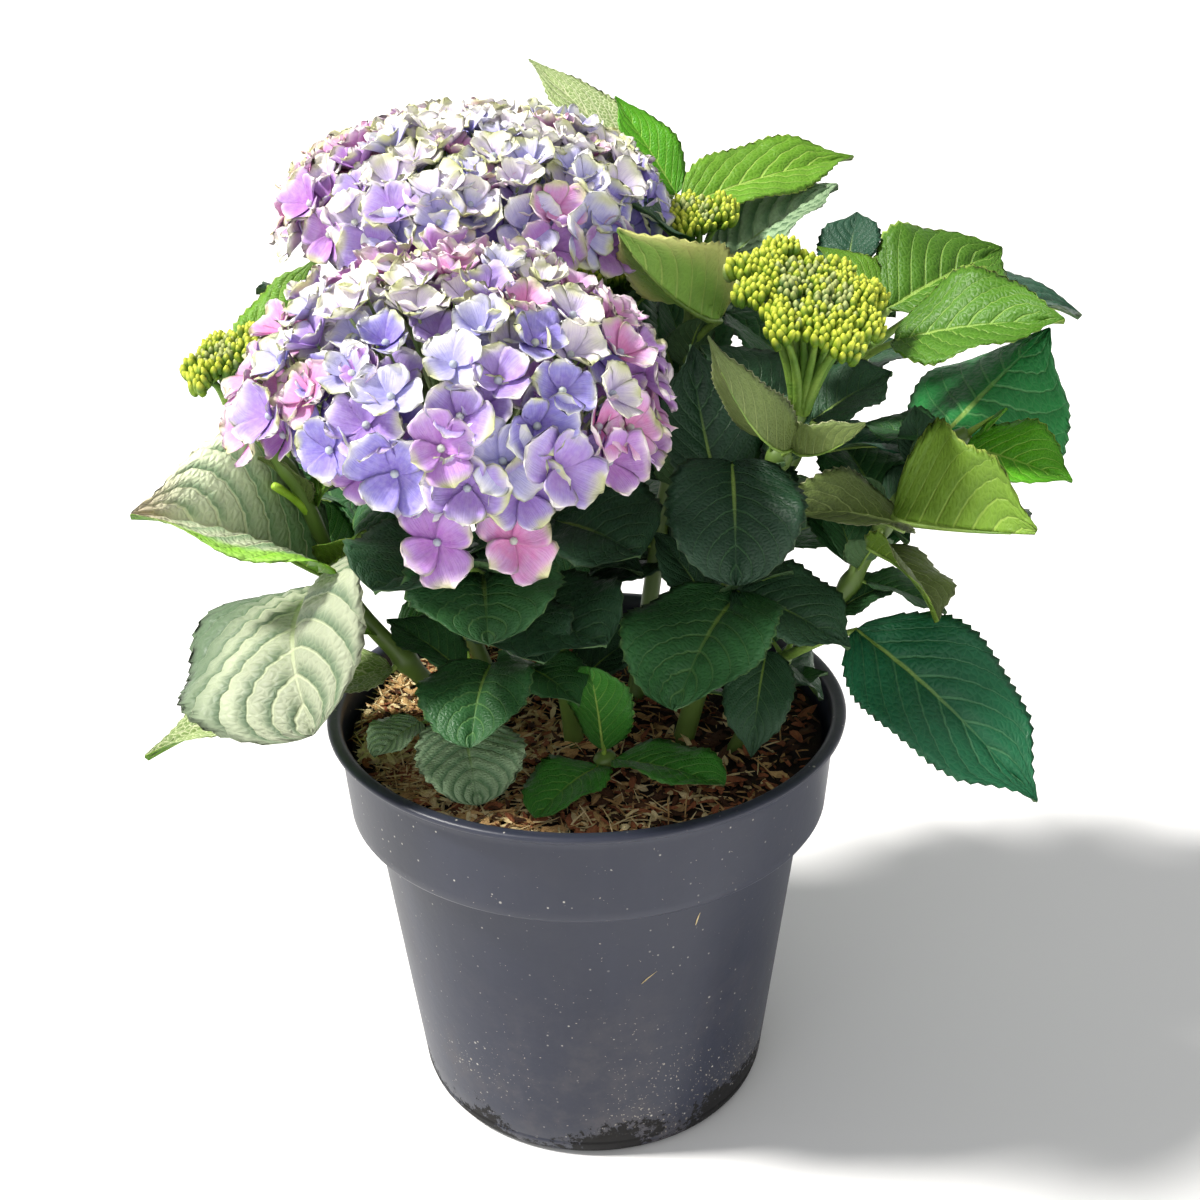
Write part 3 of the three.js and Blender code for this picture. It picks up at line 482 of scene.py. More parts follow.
class Field:
    """A number or a colour that changes over a surface, and the sums that shader nodes do with it."""

    def __init__(self, tree, socket):
        self.tree, self.socket = tree, socket

    def sums(self, operation, *others):
        values = dict(enumerate((self, *others)))
        return field(self.tree, "ShaderNodeMath", values, operation=operation)

    def __add__(self, other):
        return self.sums("ADD", other)

    def __sub__(self, other):
        return self.sums("SUBTRACT", other)

    def __rsub__(self, other):
        return field(self.tree, "ShaderNodeMath", {0: other, 1: self}, operation="SUBTRACT")

    def __mul__(self, other):
        return self.sums("MULTIPLY", other)

    def __truediv__(self, other):
        return self.sums("DIVIDE", other)

    def __pow__(self, other):
        return self.sums("POWER", other)

    def __abs__(self):
        return self.sums("ABSOLUTE")

    def larger(self, other):
        return self.sums("MAXIMUM", other)

    def clamped(self):
        return field(self.tree, "ShaderNodeClamp", {0: self})

    def ramp(self, low, high, smooth=True):
        """0 below low, 1 above high."""
        kind = "SMOOTHSTEP" if smooth else "LINEAR"
        return field(self.tree, "ShaderNodeMapRange", {0: self, 1: low, 2: high}, interpolation_type=kind)

    def between(self, a, b):
        """A colour that is a where this is 0 and b where it is 1."""
        a, b = [color if isinstance(color, Field) else (*color, 1) for color in (a, b)]
        return field(self.tree, "ShaderNodeMix", {0: self, 6: a, 7: b}, 2, data_type="RGBA")


def add_node(tree, kind, inputs, **settings):
    """A new shader node, with its inputs linked or set."""
    node = tree.nodes.new(kind)
    for name, value in settings.items():
        setattr(node, name, value)
    for key, value in inputs.items():
        if isinstance(value, Field):
            tree.links.new(value.socket, node.inputs[key])
        else:
            node.inputs[key].default_value = value
    return node


def field(tree, kind, inputs, output=0, **settings):
    """One output of a new shader node."""
    return Field(tree, add_node(tree, kind, inputs, **settings).outputs[output])


def noise(point, scale, detail=3.0, rough=0.5, flat=False):
    inputs = {"Vector": point, "Scale": scale, "Detail": detail, "Roughness": rough}
    return field(point.tree, "ShaderNodeTexNoise", inputs, "Fac", noise_dimensions="2D" if flat else "3D")


def scaled(point, *scale):
    """A point with each of its numbers scaled."""
    return field(point.tree, "ShaderNodeMapping", {"Vector": point, "Scale": scale})


def coordinate(point, axis):
    """One of a point's numbers."""
    return field(point.tree, "ShaderNodeSeparateXYZ", {0: point}, axis)


def object_point(tree):
    """The place on the object, in metres."""
    return field(tree, "ShaderNodeTexCoord", {}, "Object")


def pattern(tree):
    """The pattern map, and its two numbers: along a leaf or petal, and across it from 0 to 1."""
    uv = field(tree, "ShaderNodeUVMap", {}, uv_map="Pattern")
    return uv, coordinate(uv, 0), coordinate(uv, 1)


def build_mottle(tree, given):
    """Slow change of tone over the object, and a finer one."""
    point = object_point(tree)
    return {"Slow": noise(point, given["Slow"], 1.0).ramp(0.3, 0.7),
            "Fine": noise(point, given["Fine"], 2.0, 0.6).ramp(0.25, 0.75)}


def build_veins(tree, given):
    """A leaf's net: side veins that bend forward, the midrib, the strips between with painted shade on one side of
    each, the fine net and the rim.
    """
    uv, along, across = pattern(tree)
    out = abs(across * 2.0 - 1.0)
    bend = out * (out * VEIN_CURVE + VEIN_FORWARD)
    phase = (along ** VEIN_CROWDING - bend) * given["Count"]
    off = abs(phase - phase.sums("ROUND"))
    # Painted shade: each strip is painted darker on its side away from the light, towards the next vein.
    painted_shade = phase.sums("FRACT").ramp(0.30, 1.0) * out.ramp(0.0, 0.12) * (1 - out.ramp(0.80, 1.0))
    side = (1 - (off / ((1.25 - out) * given["Width"])).ramp(0.35, 1.0)) * (0.95 - out * 0.6)
    rib = (1 - (out / ((1.15 - along) * 0.052)).ramp(0.4, 1.0)) * (1 - along * 0.45)
    net = field(tree, "ShaderNodeTexVoronoi", {"Vector": scaled(uv, 1.6, 1.0, 1.0), "Scale": 22.0},
                "Distance", feature="DISTANCE_TO_EDGE", voronoi_dimensions="2D")
    return {"Veins": side.larger(rib), "Rib": rib, "Strip": (off * math.pi).sums("SINE"), "Lee": painted_shade,
            "Net": 1 - net.ramp(0.0, 0.14), "Pillow": net.ramp(0.0, 0.42), "Edge": out.ramp(given["Rim"], 1.0)}


def build_petal(tree, given):
    """A petal's heart, its streaks, its thin pale rim and the green stain at some of the tips."""
    uv, along, across = pattern(tree)
    out = abs(across * 2.0 - 1.0)
    point = object_point(tree)
    ragged = noise(point, 170.0, 1.0) - 0.5
    reach = along.larger(out * along ** 0.35) + ragged * 0.16
    soft = reach.ramp(given["Rim"], 1.0) * 0.72
    patchy = noise(point, 62.0, 1.0).ramp(0.47, 0.60)
    return {"Rim": soft.larger(reach.ramp(0.875, 0.935)), "Spread": (along + ragged * 0.9).ramp(0.12, 0.85),
            "Streak": noise(scaled(uv, 1.2, 26.0, 1.0), 1.0, 2.0, 0.6, flat=True).ramp(0.35, 0.7),
            "Tip": reach.ramp(given["Tip"], 1.0) * patchy}


# The shared effects: how each is built, what it can be given, and what it puts out.
EFFECTS = {
    "mottle": (build_mottle, {"Slow": 20.0, "Fine": 300.0}, ("Slow", "Fine")),
    "leaf_veins": (build_veins, {"Count": 8.0, "Width": 0.09, "Rim": 0.95},
                   ("Veins", "Rib", "Strip", "Lee", "Net", "Pillow", "Edge")),
    "petal_zones": (build_petal, {"Rim": 0.84, "Tip": 0.62}, ("Rim", "Streak", "Spread", "Tip")),
}


def effect_group(name):
    """A shader node group made once, with its sockets named."""
    if name in bpy.data.node_groups:
        return bpy.data.node_groups[name]
    build, inputs, outputs = EFFECTS[name]
    tree = bpy.data.node_groups.new(name, "ShaderNodeTree")
    for label, value in inputs.items():
        tree.interface.new_socket(label, in_out="INPUT", socket_type="NodeSocketFloat").default_value = value
    for label in outputs:
        tree.interface.new_socket(label, in_out="OUTPUT", socket_type="NodeSocketFloat")
    source = tree.nodes.new("NodeGroupInput")
    sink = tree.nodes.new("NodeGroupOutput")
    for label, value in build(tree, {label: Field(tree, source.outputs[label]) for label in inputs}).items():
        tree.links.new(value.socket, sink.inputs[label])
    return tree


def effect(tree, name, **values):
    """A shared effect, placed with its own values: what it puts out, by name."""
    node = tree.nodes.new("ShaderNodeGroup")
    node.node_tree = effect_group(name)
    for label, value in values.items():
        node.inputs[label].default_value = value
    return {label: Field(tree, node.outputs[label]) for label in EFFECTS[name][2]}


def new_material(name, roughness, **constants):
    """A material with a Principled shader whose constants are set on its own sockets."""
    material = bpy.data.materials.new(name)
    material.use_nodes = True
    tree = material.node_tree
    shader = tree.nodes["Principled BSDF"]
    shader.inputs["Roughness"].default_value = roughness
    for key, value in constants.items():
        shader.inputs[key.replace("_", " ")].default_value = value
    return material, tree, shader


def link_looks(shader, color, height, strength, distance, rough=None):
    """Link a colour, a relief and, where it changes, a roughness to the shader."""
    tree = color.tree
    relief = field(tree, "ShaderNodeBump", {"Height": height, "Strength": strength, "Distance": distance})
    for label, value in (("Base Color", color), ("Normal", relief), ("Roughness", rough)):
        if value:
            tree.links.new(value.socket, shader.inputs[label])


def layered(color, *layers):
    """A colour with tints laid over it, each by a mask and a share."""
    for mask, share, tint in layers:
        color = (mask * share).between(color, tint)
    return color


def made_once(make):
    """Makes a material the first time, and finds it by its name from then on."""
    def found(name, *details, **more):
        return bpy.data.materials.get(name) or make(name, *details, **more)
    return found


def linear(red, green, blue):
    """A colour as seen, 0 to 255, turned to the light's own scale."""
    values = []
    for part in (red, green, blue):
        part /= 255
        values.append(part / 12.92 if part <= 0.04045 else ((part + 0.055) / 1.055) ** 2.4)
    return tuple(values)


def shade(color, share):
    """A colour made darker, or lighter where the share is over 1."""
    return tuple(part * share for part in color)


# Tones of the leaves: blade, veins, rim and roughness. Each leaf is dealt one for its face and one beneath.
# Painted light: sunlit, blush and sheen are painted pale as if in sun, and sheen also with a painted sheen;
# glow, amber, lime, bright and vivid are painted as if lit through; deep is painted shade.
LEAF_TONES = {
    "sunlit": ((170, 178, 150), (192, 200, 162), (192, 200, 160), 0.52),
    "blush": ((232, 242, 204), (240, 246, 202), (236, 230, 192), 0.50),
    "netted": ((142, 166, 98), (230, 234, 190), (222, 228, 184), 0.52),
    "sheen": ((154, 182, 140), (112, 146, 104), (168, 196, 148), 0.40),
    "vivid": ((84, 164, 24), (162, 214, 84), (180, 216, 84), 0.46),
    "fern": ((36, 124, 60), (100, 160, 98), (78, 144, 84), 0.46),
    "bright": ((98, 148, 34), (174, 204, 96), (188, 210, 100), 0.48),
    "lime": ((70, 116, 24), (144, 180, 84), (176, 204, 96), 0.48),
    "fresh": ((56, 120, 42), (118, 168, 74), (120, 166, 70), 0.42),
    "mid": ((50, 98, 54), (92, 132, 74), (96, 132, 72), 0.46),
    "dark": ((46, 80, 54), (70, 104, 66), (80, 108, 66), 0.46),
    "deep": ((30, 60, 40), (58, 92, 58), (72, 98, 64), 0.48),
    "teal": ((28, 96, 62), (80, 132, 90), (62, 116, 76), 0.46),
    "glossy": ((44, 86, 64), (78, 110, 84), (72, 112, 80), 0.42),
    "pale": ((98, 114, 60), (144, 158, 96), (200, 204, 156), 0.58),
    "glow": ((108, 142, 44), (152, 180, 80), (186, 204, 96), 0.55),
    "amber": ((158, 204, 92), (196, 222, 118), (255, 246, 160), 0.55),
    "dull": ((72, 104, 64), (112, 138, 88), (112, 134, 84), 0.60),
}
# The tone beneath, where it isn't dull.
UNDERSIDES = {"sunlit": "pale", "blush": "bright", "bright": "glow", "lime": "glow", "fresh": "pale",
              "pale": "pale", "dull": "pale", "netted": "bright", "vivid": "vivid"}
QUILTED = ("sunlit", "blush", "sheen")
MIDRIB = linear(150, 178, 84)
SHADE_GREEN = linear(78, 122, 70)
LIT_RIM = linear(150, 216, 54)
BROWNED_TIP = linear(206, 176, 150)


@made_once
def leaf_material(name, tone):
    """A leaf's skin: its net of veins paler than the blade, painted shade on each strip's side away from the light,
    and a pale rim.
    """
    *colors, rough = LEAF_TONES[tone]
    blade, vein, rim = [linear(*color) for color in colors]
    # The dark green painted as shade on the strips and on the flank.
    painted_shade = (blade[0] * 0.24, blade[1] * 0.36, blade[2] * 0.28)
    quilted = tone in QUILTED
    material, tree, shader = new_material(name, rough, Specular_IOR_Level=0.30)
    # The amber tone's wide pale rims are painted light, as on a leaf lit through along its edges.
    net = effect(tree, "leaf_veins", Rim=0.40 if tone == "amber" else 0.95)
    mottle = effect(tree, "mottle", Slow=16.0, Fine=260.0)
    _, along, across = pattern(tree)
    color = layered(
        mottle["Slow"].between(shade(blade, 0.80), shade(blade, 1.18)),
        (mottle["Fine"], 0.20, shade(blade, 0.66)),
        # Painted shade on each strip's side away from the light.
        (net["Lee"], 0.95 if quilted else 0.28, painted_shade),
        (net["Net"], 0.60 if tone == "netted" else 0.14, vein),
        (net["Veins"], 0.72, vein),
        (net["Rib"], (1 - along.ramp(0.15, 0.75)) * 0.75, MIDRIB),
        (net["Edge"], 0.70, rim))
    if tone == "sunlit":
        # Painted shade: one flank, towards the stalk, is painted the dark green of the leaf's shaded side.
        painted_flank = 1 - (across + along * 0.35).ramp(0.20, 0.47)
        color = layered(color, (painted_flank * (1 - net["Veins"] * 0.6), 0.92, painted_shade))
    if tone == "blush":
        # Painted shade: green towards the stalk. Further out the pale blade is painted as if in sun, browned at the
        # tip, with painted light shining through along one rim.
        inner = 1 - along.ramp(0.10, 0.70)
        color = layered(
            color,
            (inner * (1 - net["Veins"] * 0.5), 0.90, SHADE_GREEN),
            (across.ramp(0.78, 0.88), 0.85, LIT_RIM),
            (along.ramp(0.72, 0.98), 0.6, BROWNED_TIP))
    height = mottle["Fine"] * 0.16 + net["Pillow"] * (0.45 if quilted else 0.28)
    height = height + net["Strip"] * (1.6 if quilted else 0.5) - net["Veins"] * 0.9
    link_looks(shader, color, height, 0.65, 0.0010, mottle["Fine"] * 0.14 + (rough - 0.06))
    return material


# Colours of the florets: heart of the petal, its outer part, its rim, and how far in the rim and its stain reach.
PETAL_TONES = {
    "blue": ((134, 112, 204), (158, 152, 226), (246, 246, 240), 0.72, 0.62),
    "lilac": ((162, 122, 206), (176, 158, 224), (246, 242, 236), 0.69, 0.58),
    "violet": ((180, 114, 200), (190, 150, 220), (248, 236, 238), 0.71, 0.64),
    "pink": ((222, 130, 190), (212, 170, 222), (250, 238, 236), 0.69, 0.58),
    "cream": ((204, 188, 232), (246, 238, 242), (255, 254, 236), 0.58, 0.44),
    "cold": ((170, 164, 230), (214, 212, 242), (252, 252, 240), 0.63, 0.60),
}
PETAL_STAIN = linear(206, 212, 132)


@made_once
def petal_material(name, tone):
    """A petal's skin: streaked from a deeper heart to a pale rim, with a green stain at some tips."""
    *colors, rim_from, stain_from = PETAL_TONES[tone]
    heart, outer, rim = [linear(*color) for color in colors]
    material, tree, shader = new_material(name, 0.60, Specular_IOR_Level=0.25)
    zones = effect(tree, "petal_zones", Rim=rim_from, Tip=stain_from)
    mottle = effect(tree, "mottle", Slow=24.0, Fine=420.0)
    color = layered(
        zones["Spread"].between(heart, outer),
        (mottle["Slow"], 0.40, shade(heart, 0.92)),
        (zones["Streak"], 0.30, shade(heart, 0.78)),
        (mottle["Fine"], 0.14, rim),
        (zones["Rim"], 0.95, rim),
        (zones["Tip"], 0.75, PETAL_STAIN))
    link_looks(shader, color, zones["Streak"] + mottle["Fine"] * 0.5, 0.30, 0.0006)
    return material


@made_once
def plant_material(name, dark, light, rough, slow=40.0, fine=500.0, spots=0.0, tip=None):
    """Green stems, stalks and buds: two tones, with breathing spots on the stems and paler tips on the buds."""
    dark, light = linear(*dark), linear(*light)
    material, tree, shader = new_material(name, rough, Specular_IOR_Level=0.4)
    mottle = effect(tree, "mottle", Slow=slow, Fine=fine)
    color = layered(mottle["Slow"].between(dark, light), (mottle["Fine"], 0.35, shade(dark, 0.75)))
    height = mottle["Fine"]
    if tip:
        color = pattern(tree)[1].ramp(0.5, 1.0).between(color, linear(*tip))
    if spots:
        point = object_point(tree)
        cells = {"Vector": scaled(point, 1, 1, 0.42), "Scale": spots}
        spot = 1 - field(tree, "ShaderNodeTexVoronoi", cells, "Distance").ramp(0.22, 0.38)
        height = height + spot
        # The stem is woody where it leaves the bark.
        woody = 1 - coordinate(point, 2).ramp(0.220, 0.262)
        color = layered(color, (woody, 0.72, linear(118, 92, 58)), (spot, 0.85, linear(54, 34, 26)))
    link_looks(shader, color, height, 0.35, 0.0007)
    return material


@made_once
def chip_material(name, dark, light):
    """Torn bark: long fibres along each chip, dark and light."""
    dark, light = linear(*dark), linear(*light)
    material, tree, shader = new_material(name, 0.88, Specular_IOR_Level=0.22)
    mottle = effect(tree, "mottle", Slow=60.0, Fine=700.0)
    grain = noise(scaled(pattern(tree)[0], 3, 30, 1), 1.0, 3.0, 0.7)
    color = layered(
        mottle["Slow"].between(dark, light),
        (grain.ramp(0.4, 0.7), 0.5, shade(dark, 0.5)),
        (mottle["Fine"], 0.3, shade(light, 1.25)))
    link_looks(shader, color, grain + mottle["Fine"], 0.6, 0.0008)
    return material


def specks(point, scale, rarity):
    """Scattered specks of dust, in two sizes."""
    drifts = noise(point, 9.0, 2.0).ramp(0.35, 0.75)
    masks = []
    for size, share in ((scale, 0.10), (scale * 0.37, 0.05)):
        cell = add_node(point.tree, "ShaderNodeTexVoronoi", {"Vector": point, "Scale": size})
        lot = field(point.tree, "ShaderNodeSeparateColor", {0: Field(point.tree, cell.outputs["Color"])})
        chosen = lot.ramp(rarity, 1.0, smooth=False).ramp(0.02, 0.3)
        masks.append((1 - Field(point.tree, cell.outputs["Distance"]).ramp(share * 0.6, share * 2)) * chosen)
    return (masks[0].larger(masks[1]) * (drifts + 0.35)).clamped()


def pot_material(colour, dust):
    """Moulded plastic: faint flow lines, painted shade on the wall under the collar, dust that thickens downwards,
    and black soil round the foot.
    """
    material, tree, shader = new_material("pot_plastic", 0.44, Specular_IOR_Level=0.38)
    point = object_point(tree)
    height = coordinate(point, 2)
    mottle = effect(tree, "mottle", Slow=6.0, Fine=160.0)
    base = tuple(colour)
    # Painted shade: the wall under the collar is painted darker and bluer than the collar.
    painted_wall_shade = (base[0] * 0.50, base[1] * 0.55, base[2] * 0.70)
    streaks = noise(scaled(point, 1, 1, 0.05), 90.0, 3.0, 0.6)
    color = layered(
        mottle["Slow"].between(shade(base, 0.93), shade(base, 1.07)),
        (1 - height.ramp(0.10, 0.18), 0.9, painted_wall_shade),
        (streaks.ramp(0.45, 0.8), 0.14, shade(base, 1.5)))
    # Dust: a thin film, and specks that crowd towards the foot.
    lower = 1 - height.ramp(0.01, 0.15)
    film = noise(point, 30.0, 5.0, 0.7).ramp(0.42, 0.75) * (lower * 0.22 + 0.03)
    crowd = (lower * 0.11 + 0.01) * noise(point, 14.0, 3.0).ramp(0.35, 0.70)
    grains = (noise(point, 620.0, 2.0) + crowd).ramp(0.735, 0.78) * dust
    color = grains.between(layered(color, (film, dust, linear(142, 132, 122))), linear(176, 168, 156))
    flecks = specks(point, 260.0, 0.86)
    # Soil: ragged black patches at the foot and a few grains above them.
    low = 1 - height.ramp(0.0, 0.034)
    clods = noise(point, 19.0, 2.0) * 0.62 + noise(point, 210.0, 5.0, 0.75) * 0.50
    soil = (clods + low * 0.20).ramp(0.66, 0.70) * low.ramp(0.02, 0.2)
    dots = (noise(point, 380.0, 2.0) + lower * 0.05).ramp(0.775, 0.81)
    color = layered(color, (flecks, 0.8, linear(200, 196, 186)), (soil, 0.96, linear(12, 10, 9)),
                    (dots, 0.9, linear(34, 28, 24)))
    rough = (film * 0.5 + 0.40 + soil.larger(grains) * 0.4).clamped()
    relief = mottle["Fine"] * 0.25 + flecks.larger(grains) + soil * 2.0
    link_looks(shader, color, relief, 0.30, 0.0005, rough)
    return material


# Leaves.

VEIN_FORWARD = 0.32
VEIN_CURVE = 0.09
VEIN_CROWDING = 0.86
BROAD_ACROSS = np.array([0.06, 0.16, 0.28, 0.42, 0.57, 0.72, 0.86, 1.0])
SMALL_ACROSS = np.array([0.1, 0.3, 0.55, 0.8, 1.0])
BROAD_LEAF = 58
# Teeth: the spacing along the rim, how far along it a tooth's point lies, and the part of the leaf they take.
TOOTH_PITCH = 5.6
TOOTH_SHARE = 0.70
TOOTHED_FROM = 0.065
TOOTHED_SPAN = 0.89
# The golden turn, in degrees and in radians.
GOLDEN_TURN = 137.508
GOLDEN_ANGLE = 2.39996
# A turn for waves and spins, in radians: just short of a whole one.
WAVE_TURN = 6.28


def outline(u, blunt):
    """A blade's width along it, 1 at its widest a little below the middle, with a long tip or a blunt one."""
    if blunt:
        return np.power(u, 0.55) * np.power(1 - u, 0.62) / 0.4453
    drawn = np.clip((u - 0.72) / 0.26, 0, 1)
    return np.power(u, 0.62) * np.power(1 - u, 0.9) / 0.3579 * (1 - 0.52 * drawn * drawn * (3 - 2 * drawn))


def bowed(start, bend, end, steps):
    """Points from start to end, drawn towards bend."""
    t = np.linspace(0, 1, steps)[:, None]
    return (1 - t) ** 2 * start + 2 * t * (1 - t) * bend + t ** 2 * end


def leaf_frame(curve, item):
    """The frame that a leaf is bent in: base, chord, upper face and side."""
    node = curve.at(curve.share(item["z"]))[0]
    tip = node + direction(item["turn"], item["rise"]) * item["reach"]
    away = direction(item["turn"] + item["swing"], item["rise"] + item["lift"])
    base = node + away * item["stalk"] * item["reach"]
    chord = tip - base
    length = float(np.linalg.norm(chord))
    chord = chord / length
    up = unit(np.array([0, 0, 1.0]) - chord * chord[2])
    side = np.cross(up, chord)
    roll = math.radians(item["roll"])
    face = up * math.cos(roll) + side * math.sin(roll)
    return {"node": node, "base": base, "chord": chord, "face": face, "side": np.cross(face, chord),
            "length": length}


def blade_points(form, item, u, q, half, lift, twist=0.0):
    """Points of a bent and folded blade: u along it, q across it."""
    bend = math.radians(item["arch"] or 0.5)
    radius = form["length"] / (2 * math.sin(bend / 2))
    angle = bend * (u - 0.5)
    along = radius * (np.sin(angle) + math.sin(bend / 2))
    high = radius * (np.cos(angle) - math.cos(bend / 2))
    normal = form["face"] * np.cos(angle)[..., None] + form["chord"] * np.sin(angle)[..., None]
    slope = math.radians(item["fold"])
    out = q * half * math.cos(slope)
    rise = np.abs(q) * half * math.sin(slope) - item["cup"] * q * q * half + lift
    turn = twist * (u - 0.4)
    points = form["base"] + form["chord"] * along[..., None] + form["face"] * high[..., None]
    points = points + form["side"] * (out * np.cos(turn) - rise * np.sin(turn))[..., None]
    return points + normal * (rise * np.cos(turn) + out * np.sin(turn))[..., None]


def vein_relief(u, out, count):
    """0 between the veins and -1 in them, fading towards the rim."""
    phase = count * (np.power(u, VEIN_CROWDING) - out * (VEIN_FORWARD + VEIN_CURVE * out))
    off = np.abs(phase - np.round(phase))
    side = (1 - np.sin(np.pi * off)) * np.power(np.maximum(1 - out ** 2, 0), 0.6) * np.minimum(out * 6, 1)
    return side + 1.3 * np.exp(-(out / 0.09) ** 2)


def vein_depth(item, relief):
    """How deep a leaf's veins sink: less in a narrow leaf, more in the quilted ones."""
    return relief * min(1.0, item["wide"] / 70) * (1.3 if item["tone"] in ("sunlit", "blush") else 1.0)


def leaf_patch(form, item, seed, relief, thickness):
    """A leaf's skin: toothed rim, drawn-out tip, sunk veins with pillowed blade between, and a thin section."""
    wide = item["wide"]
    teeth = int(np.clip(round(form["length"] / TOOTH_PITCH), 9, 24))
    step = TOOTHED_SPAN / teeth
    notch = TOOTHED_FROM + step * np.arange(teeth)
    point = notch + TOOTH_SHARE * step
    stations = np.sort(np.concatenate([[0.012, 0.035], notch, point, [0.975, 0.993]]))
    is_point = np.isin(stations, point)
    half = wide / 2 * outline(stations, item["blunt"])
    tooth = min(1.3, 0.045 * wide / 2) * np.where(is_point, 1, -0.35) * np.minimum(1, half / 9)
    uneven = np.array([chance(seed, k) for k in range(len(stations))])
    tooth = tooth * np.where(stations > 0.965, 0, 1) * (0.75 + 0.5 * uneven)
    across = BROAD_ACROSS if wide >= BROAD_LEAF else SMALL_ACROSS
    across = np.concatenate([-across[::-1], [0.0], across])
    ring = np.concatenate([across, across[::-1][1:-1]])
    top = len(across) - 1
    u, q = np.meshgrid(stations, ring, indexing="ij")
    out = np.abs(q)
    half = half[:, None] + tooth[:, None] * out ** 6
    wave = 0.12 * half * q ** 2 * np.sin(WAVE_TURN * (1.7 * u + chance(seed, 1) + np.where(q > 0, 0.31, 0.0)))
    depth = vein_depth(item, relief)
    lift = wave - depth * vein_relief(u, out, round(6.2 + wide / 40)) + 0.5 * depth
    under = np.arange(len(ring)) > top
    skin = thickness * np.power(np.maximum(1 - out ** 3, 0), 0.5)
    lift = lift - np.where(under[None, :], skin, 0)
    twist = math.radians(18) * (chance(seed, 2) - 0.5)
    rings = blade_points(form, item, u, q, half, lift, twist)
    ends = blade_points(form, item, np.array([0.001, 0.9999]), np.zeros(2), np.zeros(2), np.zeros(2), twist)
    around = np.concatenate([(ring + 1) / 2, [0.0]])
    beneath = np.arange(len(ring)) >= top
    return loft(rings, ends[0], ends[1], stations, around, beneath), beneath


def stalk_patch(form, item, relief, thickness):
    """The petiole, which runs on under the blade as its midrib."""
    middle = (form["node"] + form["base"]) / 2 + form["face"] * 0.12 * form["length"] * item["stalk"]
    u = np.array([0.0, 0.05, 0.14, 0.26, 0.4, 0.55, 0.7, 0.84])
    size = np.clip(item["wide"] / 62, 0.55, 1.15)
    radii = size * np.linspace(1.6, 0.4, len(u))
    sunk = vein_depth(item, relief) * 0.8 + thickness * 0.3
    lift = -sunk * np.minimum(u / 0.1, 1) - 0.8 * radii
    rib = blade_points(form, item, u, 0 * u, 0 * u, lift)
    points = np.concatenate([bowed(form["node"], middle, rib[0], 5)[:-1], rib])
    radii = np.concatenate([size * np.linspace(2.6, 1.7, 4), radii])
    return tube(points, radii, 8, hint=tuple(form["face"]))


def shoot_leaves(name):
    """A shoot's own leaves with its small axil leaves, each with a seed."""
    items = list(SHOOTS[name]["leaves"])
    if name in AXILS:
        low, high, count, turn, reach, tones = AXILS[name]
        items += pairs(60 + len(name), low, high, count, turn, reach, 30, tones)
    return [(item, 7 * k + len(name)) for k, item in enumerate(items)]


def leaf_tones(item):
    """The tone of a leaf's face and the one beneath."""
    return item["tone"], item.get("under", UNDERSIDES.get(item["tone"], "dull"))


def make_leaves(sizes):
    """One piece of blades for each shoot, and one of all the petioles."""
    stalks = Patchwork("petioles")
    for name in SHOOTS:
        items = shoot_leaves(name)
        tones = sorted({tone for item, _ in items for tone in leaf_tones(item)})
        cells = cell_grid(2 * len(items), max(1, round(math.sqrt(2 * len(items) * 0.62))))
        work = Patchwork("leaf_blades_" + name)
        for k, (item, seed) in enumerate(items):
            form = leaf_frame(CURVES[name], item)
            patch, under = leaf_patch(form, item, seed, sizes.relief / MM, sizes.thickness / MM)
            face, back = [tones.index(tone) for tone in leaf_tones(item)]
            cell = np.where(under[:, None], cells[2 * k + 1], cells[2 * k])
            work.add(patch, np.where(under, back, face), cell)
            stalks.add(stalk_patch(form, item, sizes.relief / MM, sizes.thickness / MM))
        blades = work.build([leaf_material("leaf_" + tone, tone) for tone in tones])
        dress(blades, "leaf", "leaves_" + name)
    name, height, turn, rise, length = STUB
    node = CURVES[name].at(CURVES[name].share(height))[0]
    steps = np.linspace(0, 1, 7)[:, None]
    broken = node + direction(turn, rise) * length * steps + np.array([0, 0, 5.0]) * steps * (1 - steps)
    stalks.add(tube(broken, np.array([3.0, 2.6, 2.2, 2.0, 2.0, 2.3, 2.0]), 10), 1)
    stalk = plant_material("green_petiole", (98, 132, 52), (150, 178, 84), 0.5)
    fresh = plant_material("fresh_stub", (140, 186, 44), (184, 216, 76), 0.45)
    dress(stalks.build([stalk, fresh]), "leaf")


# Stems.

SWELLING_REACH = 4.5


